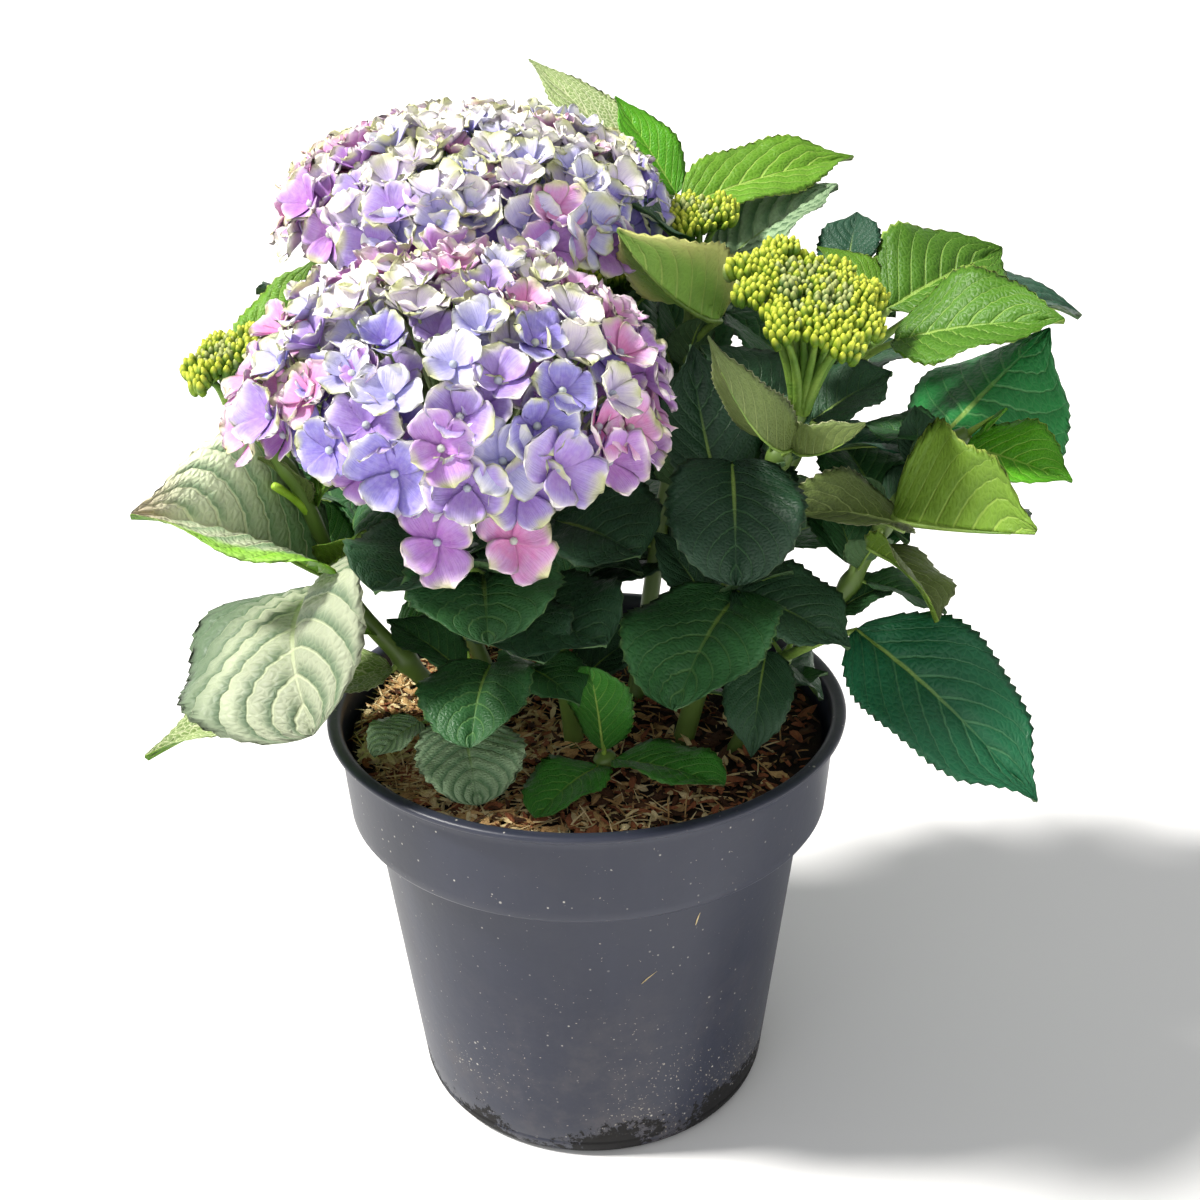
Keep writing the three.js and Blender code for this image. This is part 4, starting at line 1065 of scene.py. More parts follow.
def make_stems(sizes):
    """All the stems, from in the bark to where each carries its head or its last leaves."""
    work = Patchwork("green_stems")
    for name, shoot in SHOOTS.items():
        curve = CURVES[name]
        t = np.linspace(0, 1, max(24, int(curve.length / 3)))
        centres = curve.at(t)
        radii = shoot["foot"] + (shoot["tip"] - shoot["foot"]) * t
        for item in shoot["leaves"]:
            radii = radii + sizes.swelling / MM * np.exp(-((centres[:, 2] - item["z"]) / SWELLING_REACH) ** 2)
        phase = WAVE_TURN * chance(len(name), 3)
        wander = 0.35 * np.stack([np.sin(t * 17 + phase), np.cos(t * 13 + phase), 0 * t], axis=1)
        work.add(tube(centres + wander, radii, 14))
        if name not in HEADS and name not in BUD_HEADS:
            # The closed tip: a pair of folded young leaves.
            end = centres[-1]
            way = curve.way(1.0)[0]
            steps = np.linspace(0, 1, 6)
            bud = tube(end + way * (steps * 15)[:, None], shoot["tip"] * (1.1 - 0.95 * steps), 8, flat=0.62)
            work.add(bud, 1)
    stem = plant_material("green_stem", (94, 128, 42), (146, 174, 68), 0.44, 30, 420, spots=230)
    tip = plant_material("shoot_tip", (120, 156, 46), (168, 198, 84), 0.5)
    nodes = ["stem_" + name for name, shoot in SHOOTS.items() if shoot["bare"] > 0]
    dress(work.build([stem, tip]), "green_stem", *nodes)


# Flower heads.

PETAL_STATIONS = np.array([0.06, 0.25, 0.46, 0.65, 0.81, 0.93, 0.985])
PETAL_ACROSS = np.array([-1, -0.74, -0.36, 0.0, 0.36, 0.74, 1.0])
PETAL_THICKNESS = 0.42
HEART_RADIUS = 1.9


def petal_rings(length, wide, cup, curl, wave, phase, point):
    """A petal lying along +X with its face up: narrow foot, a bowl, and a round end with a small point."""
    u = PETAL_STATIONS
    half = wide / 2 * np.power(u, 0.66) * np.sqrt(1 - np.power(u, 3.0)) / 0.77
    ring = np.concatenate([PETAL_ACROSS, PETAL_ACROSS[::-1][1:-1]])
    under = np.arange(len(ring)) >= len(PETAL_ACROSS)
    u, q = np.meshgrid(u, ring, indexing="ij")
    flat = 1 / math.sqrt(1 + cup * cup)
    x = length * flat * (u + point * np.exp(-(q / 0.4) ** 2) * u ** 6 - 0.06 * q ** 2 * u)
    y = half[:, None] * q * (1 - 0.10 * cup * np.abs(q))
    z = length * flat * (cup * u ** 1.25 - curl * np.maximum(u - 0.55, 0) ** 2 * 2.4)
    z = z + half[:, None] * (0.10 + 0.34 * cup) * q ** 2
    z = z + wave * u ** 2 * np.abs(q) * np.sin(7.0 * u + 5.0 * q + phase)
    z = z - 0.35 * np.exp(-(q / 0.14) ** 2) * (1 - u)
    # The rim is torn into small uneven teeth.
    ragged = np.sin(9 * q + 23 * u + 3 * phase) * np.sin(17 * q + 5 * phase)
    x = x + 0.035 * length * ragged * u ** 5
    y = y * (1 + 0.035 * np.sin(31 * u + 7 * phase + 4 * np.sign(q)))
    z = z - np.where(under[None, :], PETAL_THICKNESS * np.power(np.maximum(1 - q ** 4, 0), 0.5), 0)
    around = np.concatenate([(ring + 1) / 2, [0.0]])
    tip = [length * flat * (1 + point), 0, length * flat * (cup - curl * 0.486)]
    return np.stack([x, y, z], axis=2), np.array([[0, 0, 0], tip]), around


def head_point(head, turn, height, out, inset=0.0):
    """A place on a head's dome, a share out and then inset."""
    flat = math.sqrt(max(0.0, 1 - height * height))
    tall = head["up"] if height > 0 else head["down"]
    wide = head["across"] * out - inset
    turn = math.radians(turn)
    spot = [wide * flat * math.cos(turn), wide * flat * math.sin(turn), (tall * out - inset) * height]
    return np.array(head["centre"]) + np.array(spot)


def head_normal(head, turn, height):
    """The dome's outward direction there."""
    flat = math.sqrt(max(0.0, 1 - height * height))
    tall = head["up"] if height > 0 else head["down"]
    turn = math.radians(turn)
    return unit([flat * math.cos(turn) / head["across"], flat * math.sin(turn) / head["across"], height / tall])


# The layers of florets: share of the count, how far out, how loosely turned, and how much smaller.
FLORET_LAYERS = ((1.0, 1.0, 12, 0.0), (0.6, 0.86, 30, 0.06), (0.34, 0.93, 50, 0.1))
# Where the dome shows through: places tried, how far out a filler floret sits, and its distance from the next.
FILLER_TRIES = 400
FILLER_OUT = 0.90
FILLER_GAP = 14.0
HANGING_OUT = 1.09


def floret_seats(head, count, sizes):
    """Where florets sit: an outer layer in an even spiral, smaller ones between and below, and the big low ones."""
    low = math.cos(math.radians(head["polar"]))
    seats = []
    for layer, (share, out, loose, small) in enumerate(FLORET_LAYERS):
        seed = head["seed"] + 5 * layer
        # The third layer fills only the top, where florets are crowns and cover less.
        reach = 0.75 if layer == 2 else 1 - low
        for k in range(int(count * share)):
            height = 1 - reach * ((k + 0.5) / (count * share)) ** 1.2
            turn = GOLDEN_TURN * k + 61 * layer + loose * (chance(seed, k) - 0.5)
            size = 0.88 + 0.18 * chance(seed + 1, k) - small + 0.34 * min(1, max(0, 0.55 - height))
            seats.append((turn, height, out - 0.07 * chance(seed + 2, k), size * sizes.floret / MM))
    # Wherever the dome still shows through, one more floret.
    taken = np.array([head_point(head, *seat[:3]) for seat in seats])
    for k in range(FILLER_TRIES):
        height, turn = 1 - (1 - low) * (k + 0.5) / FILLER_TRIES, GOLDEN_TURN * k + 20
        spot = head_point(head, turn, height, FILLER_OUT)
        if np.linalg.norm(taken - spot, axis=1).min() > FILLER_GAP:
            seats.append((turn, height, FILLER_OUT, 0.95 * sizes.floret / MM))
            taken = np.concatenate([taken, [spot]])
    for turn, polar in head["hanging"]:
        seats.append((turn, math.cos(math.radians(polar)), HANGING_OUT, 1.2 * sizes.floret / MM))
    return seats


def drawn(lot, **limits):
    """The first tone whose limit the lot is under."""
    return next(tone for tone, limit in limits.items() if lot < limit)


def floret_tone(name, place, k):
    """Pale florets on top, orchid to the right, pink below, and lilac-blue between, mixed at their borders. The
    pale tops are partly the florets' own cream and partly painted light.
    """
    head = HEADS[name]
    x = (place[0] - head["centre"][0]) / head["across"] + 0.36 * (chance(k, 5) - 0.5)
    y = (place[1] - head["centre"][1]) / head["across"] + 0.30 * (chance(k, 8) - 0.5)
    z = (place[2] - head["centre"][2]) / head["up"] + 0.36 * (chance(k, 6) - 0.5)
    lot = chance(k, 7)
    if name == "front":
        if z < -0.42:
            return drawn(lot, pink=0.50, violet=0.75, lilac=1)
        if x < -0.60:
            return drawn(lot, cream=0.35, pink=0.60, lilac=0.85, cold=1)
        if x > 0.52:
            return drawn(lot, violet=0.45, pink=0.75, lilac=0.9, cream=1)
        if y > -0.26:
            return drawn(lot, pink=0.42, cream=0.74, violet=0.86, cold=1)
        if z > 0.50:
            return drawn(lot, cream=0.60, cold=0.8, pink=0.9, lilac=1)
    else:
        if x < -0.40:
            return drawn(lot, pink=0.40, violet=0.65, lilac=0.85, cream=1)
        if z > 0.30:
            return drawn(lot, cream=0.66, cold=0.92, pink=1)
        return drawn(lot, blue=0.44, cold=0.70, lilac=0.92, violet=1)
    return drawn(lot, blue=0.32, lilac=0.68, violet=0.80, cold=1)


def turned(a, b, angle):
    """Two coordinates after a turn by an angle."""
    return a * math.cos(angle) - b * math.sin(angle), a * math.sin(angle) + b * math.cos(angle)


def floret_patches(place, normal, spin, radius, seed, closed):
    """Four broad petals, a large pair under a smaller one; closed lifts them to a crown."""
    x, y = sides_of(normal, (math.cos(spin), math.sin(spin), 0.3))
    frame_rows = np.stack([x, y, normal])
    cup = 0.20 + closed * (0.18 + 0.45 * chance(seed, 11))
    patches = []
    for lobe in range(4):
        angle = math.radians(90 * lobe + 16 * (chance(seed, 20 + lobe) - 0.5))
        inner = lobe % 2
        length = radius * (0.96 + 0.18 * chance(seed, 30 + lobe) - 0.16 * inner)
        rings, ends, around = petal_rings(
            length, length * (1.30 + 0.18 * chance(seed, 40 + lobe) - 0.10 * inner),
            cup + 0.12 * inner + 0.20 * (chance(seed, 50 + lobe) - 0.5),
            0.55 * chance(seed, 60 + lobe), 1.2 + 1.4 * chance(seed, 70 + lobe),
            WAVE_TURN * chance(seed, 80 + lobe), 0.01 + 0.05 * chance(seed, 90 + lobe))
        lean = math.radians(14 * (chance(seed, 95 + lobe) - 0.5))
        placed = []
        for points in (rings, ends):
            px, (py, pz) = points[..., 0], turned(points[..., 1], points[..., 2] + 0.9 * inner, lean)
            px, py = turned(px, py, angle)
            placed.append(place + np.stack([px, py, pz], axis=-1) @ frame_rows)
        rings, ends = placed
        beneath = np.arange(rings.shape[1]) >= len(PETAL_ACROSS) - 1
        patches.append(loft(rings, ends[0], ends[1], PETAL_STATIONS, around, beneath))
    return patches


def ball_patch(centre, axis, radius, tall, columns=8, rows=5, ridge=0.0, taper=0.0):
    """A small closed bud on an axis, with ridges; taper draws its upper part to a point."""
    x, y = sides_of(axis)
    rise = np.linspace(0, math.pi, rows + 2)[1:-1]
    angle = 2 * np.pi * np.arange(columns) / columns
    slim = 1 - taper * ((1 - np.cos(rise)) / 2) ** 1.5
    wide = radius * (np.sin(rise) * slim)[:, None] * (1 + ridge * np.cos(angle * columns / 2)[None, :])
    high = -tall * np.cos(rise)
    rings = (centre + x * (wide * np.cos(angle))[..., None] - y * (wide * np.sin(angle))[..., None]
             + axis * high[:, None, None])
    return loft(rings, centre - axis * tall, centre + axis * tall)


def make_flowers(sizes):
    """Both open heads: florets by colour, their hearts and the stalks that carry them."""
    hearts = Patchwork("floret_hearts")
    stalks = Patchwork("floret_stalks")
    for name, head in HEADS.items():
        dealt = {}
        seats = floret_seats(head, sizes.front_count if name == "front" else sizes.rear_count, sizes)
        hub = CURVES[name].at(1.0)[0] + np.array([0, 0, 6.0])
        for k, (turn, height, out, radius) in enumerate(seats):
            hanging = out > 1.0
            if not hanging and height < -0.12 and head["fallen"][0] < turn % 360 < head["fallen"][1]:
                continue
            place = head_point(head, turn, height, out, 4.0 if hanging else 7.5)
            normal = head_normal(head, turn, height)
            # A floret in the lower part turns up to face outwards.
            normal[2] = max(normal[2], 0.12)
            seed = head["seed"] * 100 + k
            loose = 0.15 if hanging else 0.36
            normal = unit(normal + loose * (np.array([chance(seed, 1), chance(seed, 2), chance(seed, 3)]) - 0.5)
                          + np.array([0, 0, 0.12]))
            if hanging:
                tone = "violet" if turn == head["hanging"][0][0] else "pink"
            else:
                tone = floret_tone(name, place, seed)
            closed = 0.25 if hanging else 0.6 + 0.8 * max(0.0, float(normal[2])) ** 2
            dealt.setdefault(tone, []).append(
                floret_patches(place, normal, WAVE_TURN * chance(seed, 4), radius, seed, closed))
            hearts.add(ball_patch(place + normal * 1.6, normal, HEART_RADIUS, HEART_RADIUS, 7, 4))
            way = bowed(hub, place - normal * 22 * out, place - normal * 0.4, 6)
            stalks.add(tube(way, np.linspace(1.5, 0.75, 6), 5))
        for tone, florets in sorted(dealt.items()):
            work = Patchwork("florets_%s_%s" % (name, tone))
            count = 8 * len(florets)
            cells = cell_grid(count, math.ceil(math.sqrt(count)))
            # Each petal's face and back have a cell of their own.
            for k, patch in enumerate(sum(florets, [])):
                work.add(patch, 0, np.repeat(cells[2 * k:2 * k + 2], len(PETAL_ACROSS) - 1, axis=0))
            petals = work.build([petal_material("petal_" + tone, tone)])
            dress(petals, "petal", "flower_head_" + name)
    heart = plant_material("floret_heart", (176, 184, 200), (206, 214, 190), 0.5)
    dress(hearts.build([heart]), "petal")
    stalk = plant_material("floret_stalk", (120, 150, 86), (168, 186, 128), 0.55)
    dress(stalks.build([stalk]), "petal")


# Closed buds.

def make_buds(sizes):
    """The heads of closed buds: small ridged buds in clusters on a fan of ribbed stalks."""
    bud = plant_material("bud_skin", (74, 112, 22), (130, 160, 34), 0.5, 150.0, 900.0, tip=(206, 214, 70))
    green = plant_material("bud_green", (66, 100, 40), (116, 142, 70), 0.5, 150.0, 900.0, tip=(182, 190, 116))
    stalk = plant_material("bud_stalk", (92, 134, 46), (150, 182, 78), 0.5, 60.0, 700.0)
    for name, head in BUD_HEADS.items():
        work = Patchwork("buds_" + name)
        curve = CURVES[name]
        top, way = curve.at(1.0)[0], curve.way(1.0)[0]
        axis = direction(head["turn"], 90 - head["lean"])
        middle = top + way * 0.2 * head["rise"] + np.array([0, 0, 0.8 * head["rise"]])
        x, y = sides_of(axis, (1, 0, 0))
        seed = head["seed"]
        radius = head["radius"] / math.sqrt(head["clusters"])
        for c in range(head["clusters"]):
            share = math.sqrt((c + 0.4) / head["clusters"])
            turn = math.radians(GOLDEN_TURN * c + 20 * chance(seed, c))
            spoke = x * math.cos(turn) + y * math.sin(turn)
            dome = 0.10 * head["radius"] * (1 - share) + 3.0 * (chance(seed + 1, c) - 0.5)
            spot = middle + spoke * head["radius"] * 0.90 * share + axis * dome
            outward = unit(spot - (middle - axis * 1.5 * head["radius"]))
            foot = spot - outward * 11
            fork = top + way * head["rise"] * 0.04 + spoke * 3.2 * share
            bend = fork + (foot - fork) * 0.5 + (axis - spoke * share * 0.6) * 0.16 * head["rise"]
            thick = 0.5 + 0.5 * head["radius"] / 42
            work.add(tube(bowed(fork, bend, foot, 8), np.linspace(2.7, 1.3, 8) * thick, 7), 2)
            cluster_x, cluster_y = sides_of(outward)
            count = max(8, int(radius * radius / 3.4))
            for b in range(count):
                near = math.sqrt((b + 0.5) / count)
                around = GOLDEN_ANGLE * b + c
                ray = cluster_x * math.cos(around) + cluster_y * math.sin(around)
                low = 3.2 * near * near + 2.2 * chance(seed + c, b)
                place = spot + ray * radius * 0.96 * near - outward * low
                # Buds on the head's rim are the longest and point up.
                rim = min(1.0, max(0.0, float((place - middle) @ spoke) / head["radius"])) ** 2
                tip_way = unit(outward * 0.5 + 0.40 * near * ray + np.array([0, 0, 0.8])
                               + 0.5 * (np.array([chance(b, c), chance(b, c + 9), 0.5]) - 0.5))
                size = sizes.bud / MM * (0.78 + 0.32 * chance(seed + c + 3, b) + 0.22 * rim)
                tall = size * (0.62 + 0.26 * rim + 0.22 * chance(seed + c + 5, b))
                # Painted shade: buds low in a cluster, and many away from the head's rim, take the darker shaded
                # bud skin.
                shadow = int(low > 4.6 or rim < 0.22 and chance(seed + c + 7, b) < 0.6)
                work.add(ball_patch(place, tip_way, size * 0.5, tall, 8, 5, 0.09, 0.42), shadow)
                work.add(tube([foot, foot * 0.4 + place * 0.6 - outward * 1.5, place - tip_way * tall * 0.8],
                              [0.8, 0.65, 0.6], 5), 2)
        dress(work.build([bud, green, stalk]), "bud", "bud_head_" + name)


# The bark mix.

MIX_TOP = 215.5
MIX_FOOT = 190
MIX_RADIUS = 127.6
# Two fibres that cling to the wall, a curled thread and a straw: place, turn, pitch and length.
WALL_FIBRES = (((33, -108.5, 131), 0.28, -0.62, 17), ((55, -103.5, 161), 0.5, -1.2, 8))
# The barks that chips are dealt from: dark and light, the share of each, and how it gathers to the right.
BARKS = {
    "bark_umber": ((52, 34, 24), (92, 62, 42), 0.28, 0.9),
    "bark_russet": ((112, 62, 40), (166, 104, 70), 0.20, 0.2),
    "bark_tan": ((160, 122, 78), (208, 170, 116), 0.28, -0.8),
    "bark_straw": ((206, 180, 124), (240, 220, 172), 0.24, -1.1),
}


def mix_height(x, y):
    """The uneven top of the mix."""
    swell = 1.8 * np.sin(x / 23 + 1) * np.cos(y / 31) + 1.1 * np.sin(x / 9.5) * np.sin(y / 8.3 + 2)
    return MIX_TOP + swell


def chip_patch(place, yaw, pitch, roll, length, wide, thick, seed):
    """A torn sliver of bark: four-sided rings that thin to ragged ends."""
    u = np.array([0.0, 0.22, 0.62, 1.0])
    ends = np.array([0.45, 1.0, 0.9, 0.35])
    angle = 2 * np.pi * np.arange(4) / 4
    jig = np.array([[chance(seed + j, i) for j in range(4)] for i in range(4)])
    rings = np.zeros((4, 4, 3))
    rings[..., 0] = (u[:, None] - 0.5) * length + (jig - 0.5) * length * 0.14
    rings[..., 1] = wide / 2 * ends[:, None] * np.cos(angle) * (0.7 + 0.6 * jig)
    rings[..., 2] = -thick / 2 * ends[:, None] * np.sin(angle) * (0.6 + 0.8 * jig)
    rings[..., 2] += 0.10 * length * (chance(seed, 9) - 0.3) * np.sin(np.pi * u)[:, None]
    turn = np.array(Euler((roll, pitch, yaw)).to_matrix())
    rings = rings @ turn.T + place
    return loft(rings, rings[0].mean(axis=0), rings[-1].mean(axis=0))


def make_mix(sizes):
    """The bark bed and the chips and fibres that lie on it."""
    rng = np.random.default_rng(5)
    sides = 120
    work = Patchwork("bark_bed")
    angle = 2 * np.pi * np.arange(sides) / sides
    rings = []
    for r in np.linspace(4, MIX_RADIUS, 32)[::-1]:
        x, y = r * np.cos(angle), -r * np.sin(angle)
        z = mix_height(x, y) + 1.1 * rng.random(sides) - 0.6
        rings.append(np.stack([x, y, z], axis=1))
    foot = rings[0].copy()
    foot[:, 2] = MIX_FOOT
    work.add(loft(np.array([foot] + rings), [0, 0, MIX_FOOT], [0, 0, MIX_TOP + 0.1]))
    bed = chip_material("bark_dark", (16, 12, 10), (44, 32, 24))
    dress(work.build([bed]), "bark_mix", "potting_mix")
    works = {kind: Patchwork(kind + "_chips") for kind in BARKS}
    shares, gathers = np.array([bark[2:] for bark in BARKS.values()]).T
    for k in range(sizes.chips):
        r = (MIX_RADIUS - 4) * math.sqrt(rng.random())
        turn = 2 * math.pi * rng.random()
        x, y = r * math.cos(turn), r * math.sin(turn)
        # Straw-coloured fibres gather to the left and front, and bare soil shows to the right and back.
        away = (x + 0.6 * y) / MIX_RADIUS
        if rng.random() < 0.75 * min(1.0, max(0.0, 0.5 + away)):
            continue
        dealt = shares * np.maximum(0.04, 1 + gathers * away)
        kind = list(BARKS)[int(rng.choice(len(BARKS), p=dealt / dealt.sum()))]
        fibre = kind in ("bark_tan", "bark_straw") and rng.random() < 0.5
        length = rng.uniform(7, 20) if fibre else rng.uniform(3, 11) * (1.5 if rng.random() < 0.08 else 1.0)
        wide = rng.uniform(0.6, 1.3) if fibre else length * rng.uniform(0.25, 0.55)
        thick = min(wide, rng.uniform(0.8, 2.6))
        z = float(mix_height(np.array(x), np.array(y))) + rng.uniform(0.0, 4.5)
        works[kind].add(chip_patch(np.array([x, y, z]), rng.uniform(0, WAVE_TURN), rng.normal(0, 0.28),
                                   rng.normal(0, 0.4), length, wide, thick, k))
    for place, turn, pitch, length in WALL_FIBRES:
        works["bark_straw"].add(chip_patch(np.array(place, float), turn, pitch, 0.0, length, 1.0, 0.8, 5))
    for kind, (dark, light, _, _) in BARKS.items():
        dress(works[kind].build([chip_material(kind, dark, light)], smooth=False), "bark_mix")


# The pot.

# The wall's thickness, how high the foot's middle stands, the floor inside, and the drain holes' place and size.
WALL = 2.2
FOOT_RISE = 1.6
FLOOR_TOP = 4.0
HOLE_PLACE = 66
HOLE_RADIUS = 8.5
HOLE_DEPTH = 1.9


def make_pot(sizes):
    """The pot's skin, turned about its axis: rolled lip, deep collar with its step, wall, foot and drain holes."""
    sides = 144
    h, lip = sizes.height / MM, sizes.rim / MM
    collar_top, collar_foot = lip - 5.6, lip - 9.1
    collar = h - sizes.collar / MM
    wall_top, foot = lip - 20.8, lip - 40.6
    bottom = [(radius, FOOT_RISE) for radius in (0.5, 30, 42, 54, 58, 62, 66, 70, 74, 80)]
    outer = bottom + [
        (84, 1.5), (85.2, 0.4), (86, 0), (foot - 9, 0), (foot - 5.5, 0.5), (foot - 2.6, 2.0),
        (foot - 0.8, 4.8), (foot + 0.2, 8.2), (foot + 0.5, 9.6), (foot + 0.2, 10.2), (foot + 0.7, 11.2)]
    for share in np.linspace(0.08, 0.96, 24):
        outer.append((foot + 0.7 + (wall_top - foot - 0.7) * share, 11.2 + (collar - 11.2) * share))
    outer += [(wall_top, collar - 1.8), (wall_top + 0.5, collar - 0.5), (wall_top + 1.6, collar + 0.1),
              (collar_foot - 2.4, collar + 0.2), (collar_foot - 0.9, collar + 0.7), (collar_foot, collar + 2.2)]
    for share in np.linspace(0.1, 1, 9):
        outer.append((collar_foot + (collar_top - collar_foot) * share, collar + 2.2 + (h - 7.6 - collar) * share))
    outer += [(collar_top + 0.6, h - 4.8), (collar_top + 2.4, h - 4.2), (lip - 1.2, h - 3.7), (lip - 0.2, h - 2.6),
              (lip, h - 1.5), (lip - 0.6, h - 0.5), (lip - 1.9, h),
              (collar_top + 0.6, h), (collar_top - 0.9, h - 0.5),
              (collar_top - WALL, h - 2.2), (collar_top - WALL - 0.3, h - 8)]
    inner = [(collar_foot - WALL, collar + 4), (wall_top - WALL, collar + 1.8), (wall_top - WALL - 3, collar - 30),
             (foot - WALL, 12), (foot - WALL - 4, FLOOR_TOP), (40, FLOOR_TOP), (0.5, FLOOR_TOP)]
    profile = np.array(outer + inner)
    angle = 2 * np.pi * np.arange(sides) / sides
    rings = np.zeros((len(profile), sides, 3))
    # A moulded pot is never quite round.
    oval = 1 + 0.0014 * np.sin(2 * angle + 0.7) + 0.0008 * np.sin(3 * angle)
    oval = 1 + (oval - 1)[None, :] * np.clip(profile[:, 1:2] / 60, 0, 1)
    rings[..., 0] = profile[:, :1] * oval * np.cos(angle)
    rings[..., 1] = profile[:, :1] * oval * np.sin(angle)
    rings[..., 2] = profile[:, 1:2]
    # Drain holes under the foot, sunk into the floor.
    under = np.arange(len(profile)) <= len(bottom)
    for k in range(sizes.holes):
        turn = 2 * np.pi * (k + 0.5) / sizes.holes
        off = np.hypot(rings[..., 0] - HOLE_PLACE * math.cos(turn), rings[..., 1] - HOLE_PLACE * math.sin(turn))
        sink = np.clip((HOLE_RADIUS - off) / 1.6, 0, 1) * HOLE_DEPTH
        rings[..., 2] = np.where(under[:, None], rings[..., 2] + sink, rings[..., 2])
    work = Patchwork("pot_shell")
    work.add(loft(rings, [0, 0, FOOT_RISE], [0, 0, FLOOR_TOP]))
    dress(work.build([pot_material(sizes.colour, sizes.dust)]), "pot_plastic", "pot")


# What a user can change, and the steps.

def length(name, description, default, low=0.0):
    """A length that a user can set."""
    return bpy.props.FloatProperty(
        name=name, description=description, default=default, min=low, unit="LENGTH", subtype="DISTANCE")


class HydrangeaPot(bpy.types.PropertyGroup):
    height: length("Height", "From the foot to the top of the rim", 0.2325, 0.05)
    rim: length("Rim radius", "Outermost radius of the rolled lip", 0.140, 0.03)
    collar: length("Collar depth", "How far the collar reaches below the rim", 0.0547)
    holes: bpy.props.IntProperty(
        name="Drain holes", description="Holes in the foot", default=8, min=0, max=16)
    colour: bpy.props.FloatVectorProperty(
        name="Colour", description="Colour of the plastic", subtype="COLOR", size=3, min=0, max=1,
        default=(0.027, 0.031, 0.051))
    dust: bpy.props.FloatProperty(
        name="Dust", description="How much dust lies on the plastic", default=0.7, min=0, max=1, subtype="FACTOR")


class HydrangeaMix(bpy.types.PropertyGroup):
    chips: bpy.props.IntProperty(
        name="Chips", description="Bark chips and fibres on the surface", default=7000, min=100, max=20000)


class HydrangeaStems(bpy.types.PropertyGroup):
    swelling: length("Swelling", "How far a stem swells where leaves leave it", 0.0011)


class HydrangeaLeaves(bpy.types.PropertyGroup):
    relief: length("Relief", "Depth of the veins in the blade", 0.0024)
    thickness: length("Thickness", "Thickness of the blade at its midrib", 0.0008, 0.0001)


class HydrangeaFlowers(bpy.types.PropertyGroup):
    floret: length("Floret radius", "Length of one petal from the floret's heart", 0.0162, 0.005)
    front_count: bpy.props.IntProperty(
        name="Front florets", description="Florets in the outer layer of the lower head",
        default=104, min=10, max=300)
    rear_count: bpy.props.IntProperty(
        name="Rear florets", description="Florets in the outer layer of the rear head",
        default=108, min=10, max=300)


class HydrangeaBuds(bpy.types.PropertyGroup):
    bud: length("Bud size", "Width of one closed bud", 0.0042, 0.001)


class HydrangeaStage(bpy.types.PropertyGroup):
    floor: length("Floor size", "Side of the floor", 60.0, 1.0)
    sun: bpy.props.FloatProperty(
        name="Key light", description="Strength of the soft light from the upper left", default=5.2, min=0)
    fill: bpy.props.FloatProperty(
        name="Fill light", description="Strength of the broad light from the front", default=12.0, min=0,
        unit="POWER")
    room: bpy.props.FloatProperty(
        name="Room light", description="Strength of the pale room's walls", default=0.85, min=0)
    ceiling: bpy.props.FloatProperty(
        name="Ceiling light", description="Strength of the pale room's ceiling", default=0.42, min=0)
    lens: bpy.props.FloatProperty(
        name="Lens", description="Focal length on a 36 mm frame, in millimetres", default=48.0, min=10)
    view_place: bpy.props.FloatVectorProperty(
        name="Camera place", description="Where the photograph was taken from", size=3,
        default=(0.0082, -0.7691, 0.6448), unit="LENGTH", subtype="XYZ")
    view_pitch: bpy.props.FloatProperty(
        name="Camera pitch", description="How far the view looks down", default=math.radians(24.73),
        unit="ROTATION", subtype="ANGLE")
    view_roll: bpy.props.FloatProperty(
        name="Camera roll", description="How far the view leans", default=math.radians(-1.0),
        unit="ROTATION", subtype="ANGLE")


# Where the lights hang, and the point that they face.
KEY_PLACE = (-1.55, -0.15, 2.3)
FILL_PLACE = (-0.7, -2.3, 1.5)
LIT_POINT = (0, 0, 0.35)
PAPER = (0.94, 0.94, 0.94, 1.0)
FLOOR_POINTS = 25


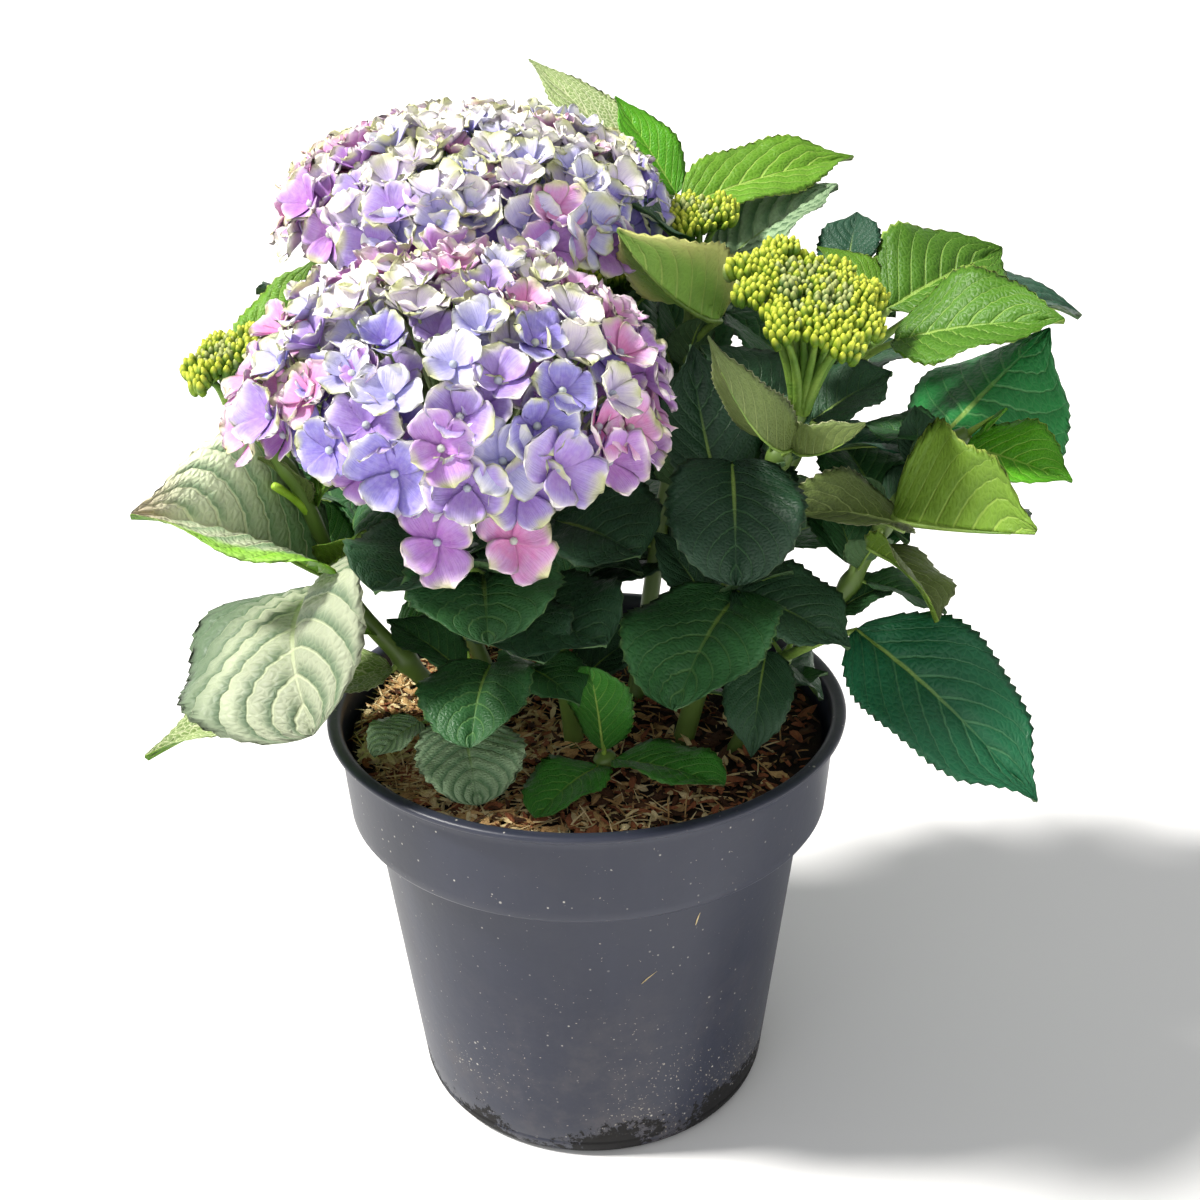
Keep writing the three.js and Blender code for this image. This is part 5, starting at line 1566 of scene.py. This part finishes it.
class HYDRANGEA_OT_stage(bpy.types.Operator):
    """Lay the pale floor, set the soft lights and the camera at the photograph's viewing angle"""
    bl_idname = "hydrangea.stage"
    bl_label = "Stage"

    def execute(self, context):
        sizes = context.scene.hydrangea_stage
        half, side = sizes.floor / 2, FLOOR_POINTS
        mesh = bpy.data.meshes.new("floor")
        steps = np.linspace(-half, half, side)
        x, y = np.meshgrid(steps, steps, indexing="ij")
        points = np.stack([x, y, 0 * x], axis=2).reshape(-1, 3)
        quads = [(i * side + j, (i + 1) * side + j, (i + 1) * side + j + 1, i * side + j + 1)
                 for i in range(side - 1) for j in range(side - 1)]
        mesh.from_pydata(points.tolist(), [], quads)
        floor = bpy.data.objects.new("floor", mesh)
        context.scene.collection.objects.link(floor)
        material, _, shader = new_material("floor_paper", 0.9, Specular_IOR_Level=0.0)
        shader.inputs["Base Color"].default_value = PAPER
        mesh.materials.append(material)
        sun = bpy.data.lights.new("window_sun", "SUN")
        sun.energy = sizes.sun
        sun.angle = math.radians(9)
        sun.color = (1.0, 0.975, 0.93)
        fill = bpy.data.lights.new("front_fill", "AREA")
        fill.size = 2.4
        fill.energy = sizes.fill
        fill.color = (0.97, 0.985, 1.0)
        for light, place in ((sun, KEY_PLACE), (fill, FILL_PLACE)):
            lamp = bpy.data.objects.new(light.name, light)
            lamp.location = place
            lamp.rotation_euler = (Vector(LIT_POINT) - Vector(place)).to_track_quat("-Z", "Y").to_euler()
            context.scene.collection.objects.link(lamp)
        world = bpy.data.worlds.new("soft_room")
        world.use_nodes = True
        backdrop = world.node_tree.nodes["Background"]
        rise = coordinate(field(world.node_tree, "ShaderNodeTexCoord", {}, "Generated"), 2)
        room = rise.ramp(0.05, 0.55).between((sizes.room,) * 3, (sizes.ceiling,) * 3)
        # The walls' foot is as pale as the floor, so that no edge shows between them.
        foot = rise.ramp(0.0, 0.12).between((1.0, 1.0, 1.0), room)
        world.node_tree.links.new(foot.socket, backdrop.inputs[0])
        backdrop.inputs[1].default_value = 1.0
        context.scene.world = world
        context.scene.view_settings.view_transform = "Standard"
        data = bpy.data.cameras.new("photo_view")
        data.lens = sizes.lens
        data.sensor_width = 36
        data.clip_start = 0.05
        camera = bpy.data.objects.new("photo_view", data)
        camera.location = sizes.view_place
        look = Euler((math.pi / 2 - sizes.view_pitch, 0, 0)).to_matrix().to_4x4()
        camera.rotation_euler = (look @ Euler((0, 0, sizes.view_roll)).to_matrix().to_4x4()).to_euler()
        context.scene.collection.objects.link(camera)
        context.scene.camera = camera
        return {"FINISHED"}


class HYDRANGEA_OT_pot(bpy.types.Operator):
    """Turn the plastic pot"""
    bl_idname = "hydrangea.pot"
    bl_label = "Pot"

    def execute(self, context):
        make_pot(context.scene.hydrangea_pot)
        return {"FINISHED"}


class HYDRANGEA_OT_mix(bpy.types.Operator):
    """Lay the bark mix, its chips and fibres"""
    bl_idname = "hydrangea.mix"
    bl_label = "Bark mix"

    def execute(self, context):
        make_mix(context.scene.hydrangea_mix)
        return {"FINISHED"}


class HYDRANGEA_OT_stems(bpy.types.Operator):
    """Grow the stems"""
    bl_idname = "hydrangea.stems"
    bl_label = "Stems"

    def execute(self, context):
        make_stems(context.scene.hydrangea_stems)
        return {"FINISHED"}


class HYDRANGEA_OT_leaves(bpy.types.Operator):
    """Grow each shoot's leaves and their stalks"""
    bl_idname = "hydrangea.leaves"
    bl_label = "Leaves"

    def execute(self, context):
        make_leaves(context.scene.hydrangea_leaves)
        return {"FINISHED"}


class HYDRANGEA_OT_flowers(bpy.types.Operator):
    """Open the two flower heads"""
    bl_idname = "hydrangea.flowers"
    bl_label = "Flower heads"

    def execute(self, context):
        make_flowers(context.scene.hydrangea_flowers)
        return {"FINISHED"}


class HYDRANGEA_OT_buds(bpy.types.Operator):
    """Set the heads of closed buds"""
    bl_idname = "hydrangea.buds"
    bl_label = "Bud heads"

    def execute(self, context):
        make_buds(context.scene.hydrangea_buds)
        return {"FINISHED"}


class HYDRANGEA_PT_panel(bpy.types.Panel):
    """The steps and what each can change"""
    bl_idname = "HYDRANGEA_PT_panel"
    bl_label = "Hydrangea"
    bl_space_type = "VIEW_3D"
    bl_region_type = "UI"
    bl_category = "Hydrangea"

    def draw(self, context):
        for operator, group_name in STEPS.values():
            box = self.layout.box()
            box.operator(operator.bl_idname)
            sizes = getattr(context.scene, group_name)
            for key in sizes.bl_rna.properties.keys():
                if key not in ("rna_type", "name"):
                    box.prop(sizes, key)


STEPS = {
    "stage": (HYDRANGEA_OT_stage, "hydrangea_stage"),
    "pot": (HYDRANGEA_OT_pot, "hydrangea_pot"),
    "mix": (HYDRANGEA_OT_mix, "hydrangea_mix"),
    "stems": (HYDRANGEA_OT_stems, "hydrangea_stems"),
    "leaves": (HYDRANGEA_OT_leaves, "hydrangea_leaves"),
    "flowers": (HYDRANGEA_OT_flowers, "hydrangea_flowers"),
    "buds": (HYDRANGEA_OT_buds, "hydrangea_buds"),
}
GROUPS = {
    "hydrangea_stage": HydrangeaStage, "hydrangea_pot": HydrangeaPot, "hydrangea_mix": HydrangeaMix,
    "hydrangea_stems": HydrangeaStems, "hydrangea_leaves": HydrangeaLeaves,
    "hydrangea_flowers": HydrangeaFlowers, "hydrangea_buds": HydrangeaBuds,
}
CLASSES = [*GROUPS.values(), *(operator for operator, _ in STEPS.values()), HYDRANGEA_PT_panel]


def register():
    for each in CLASSES:
        bpy.utils.register_class(each)
    for name, kind in GROUPS.items():
        setattr(bpy.types.Scene, name, bpy.props.PointerProperty(type=kind))


def unregister():
    for name in GROUPS:
        delattr(bpy.types.Scene, name)
    for each in reversed(CLASSES):
        bpy.utils.unregister_class(each)


def main():
    register()
    for step in STEPS:
        getattr(bpy.ops.hydrangea, step)()


if __name__ == "__main__":
    main()
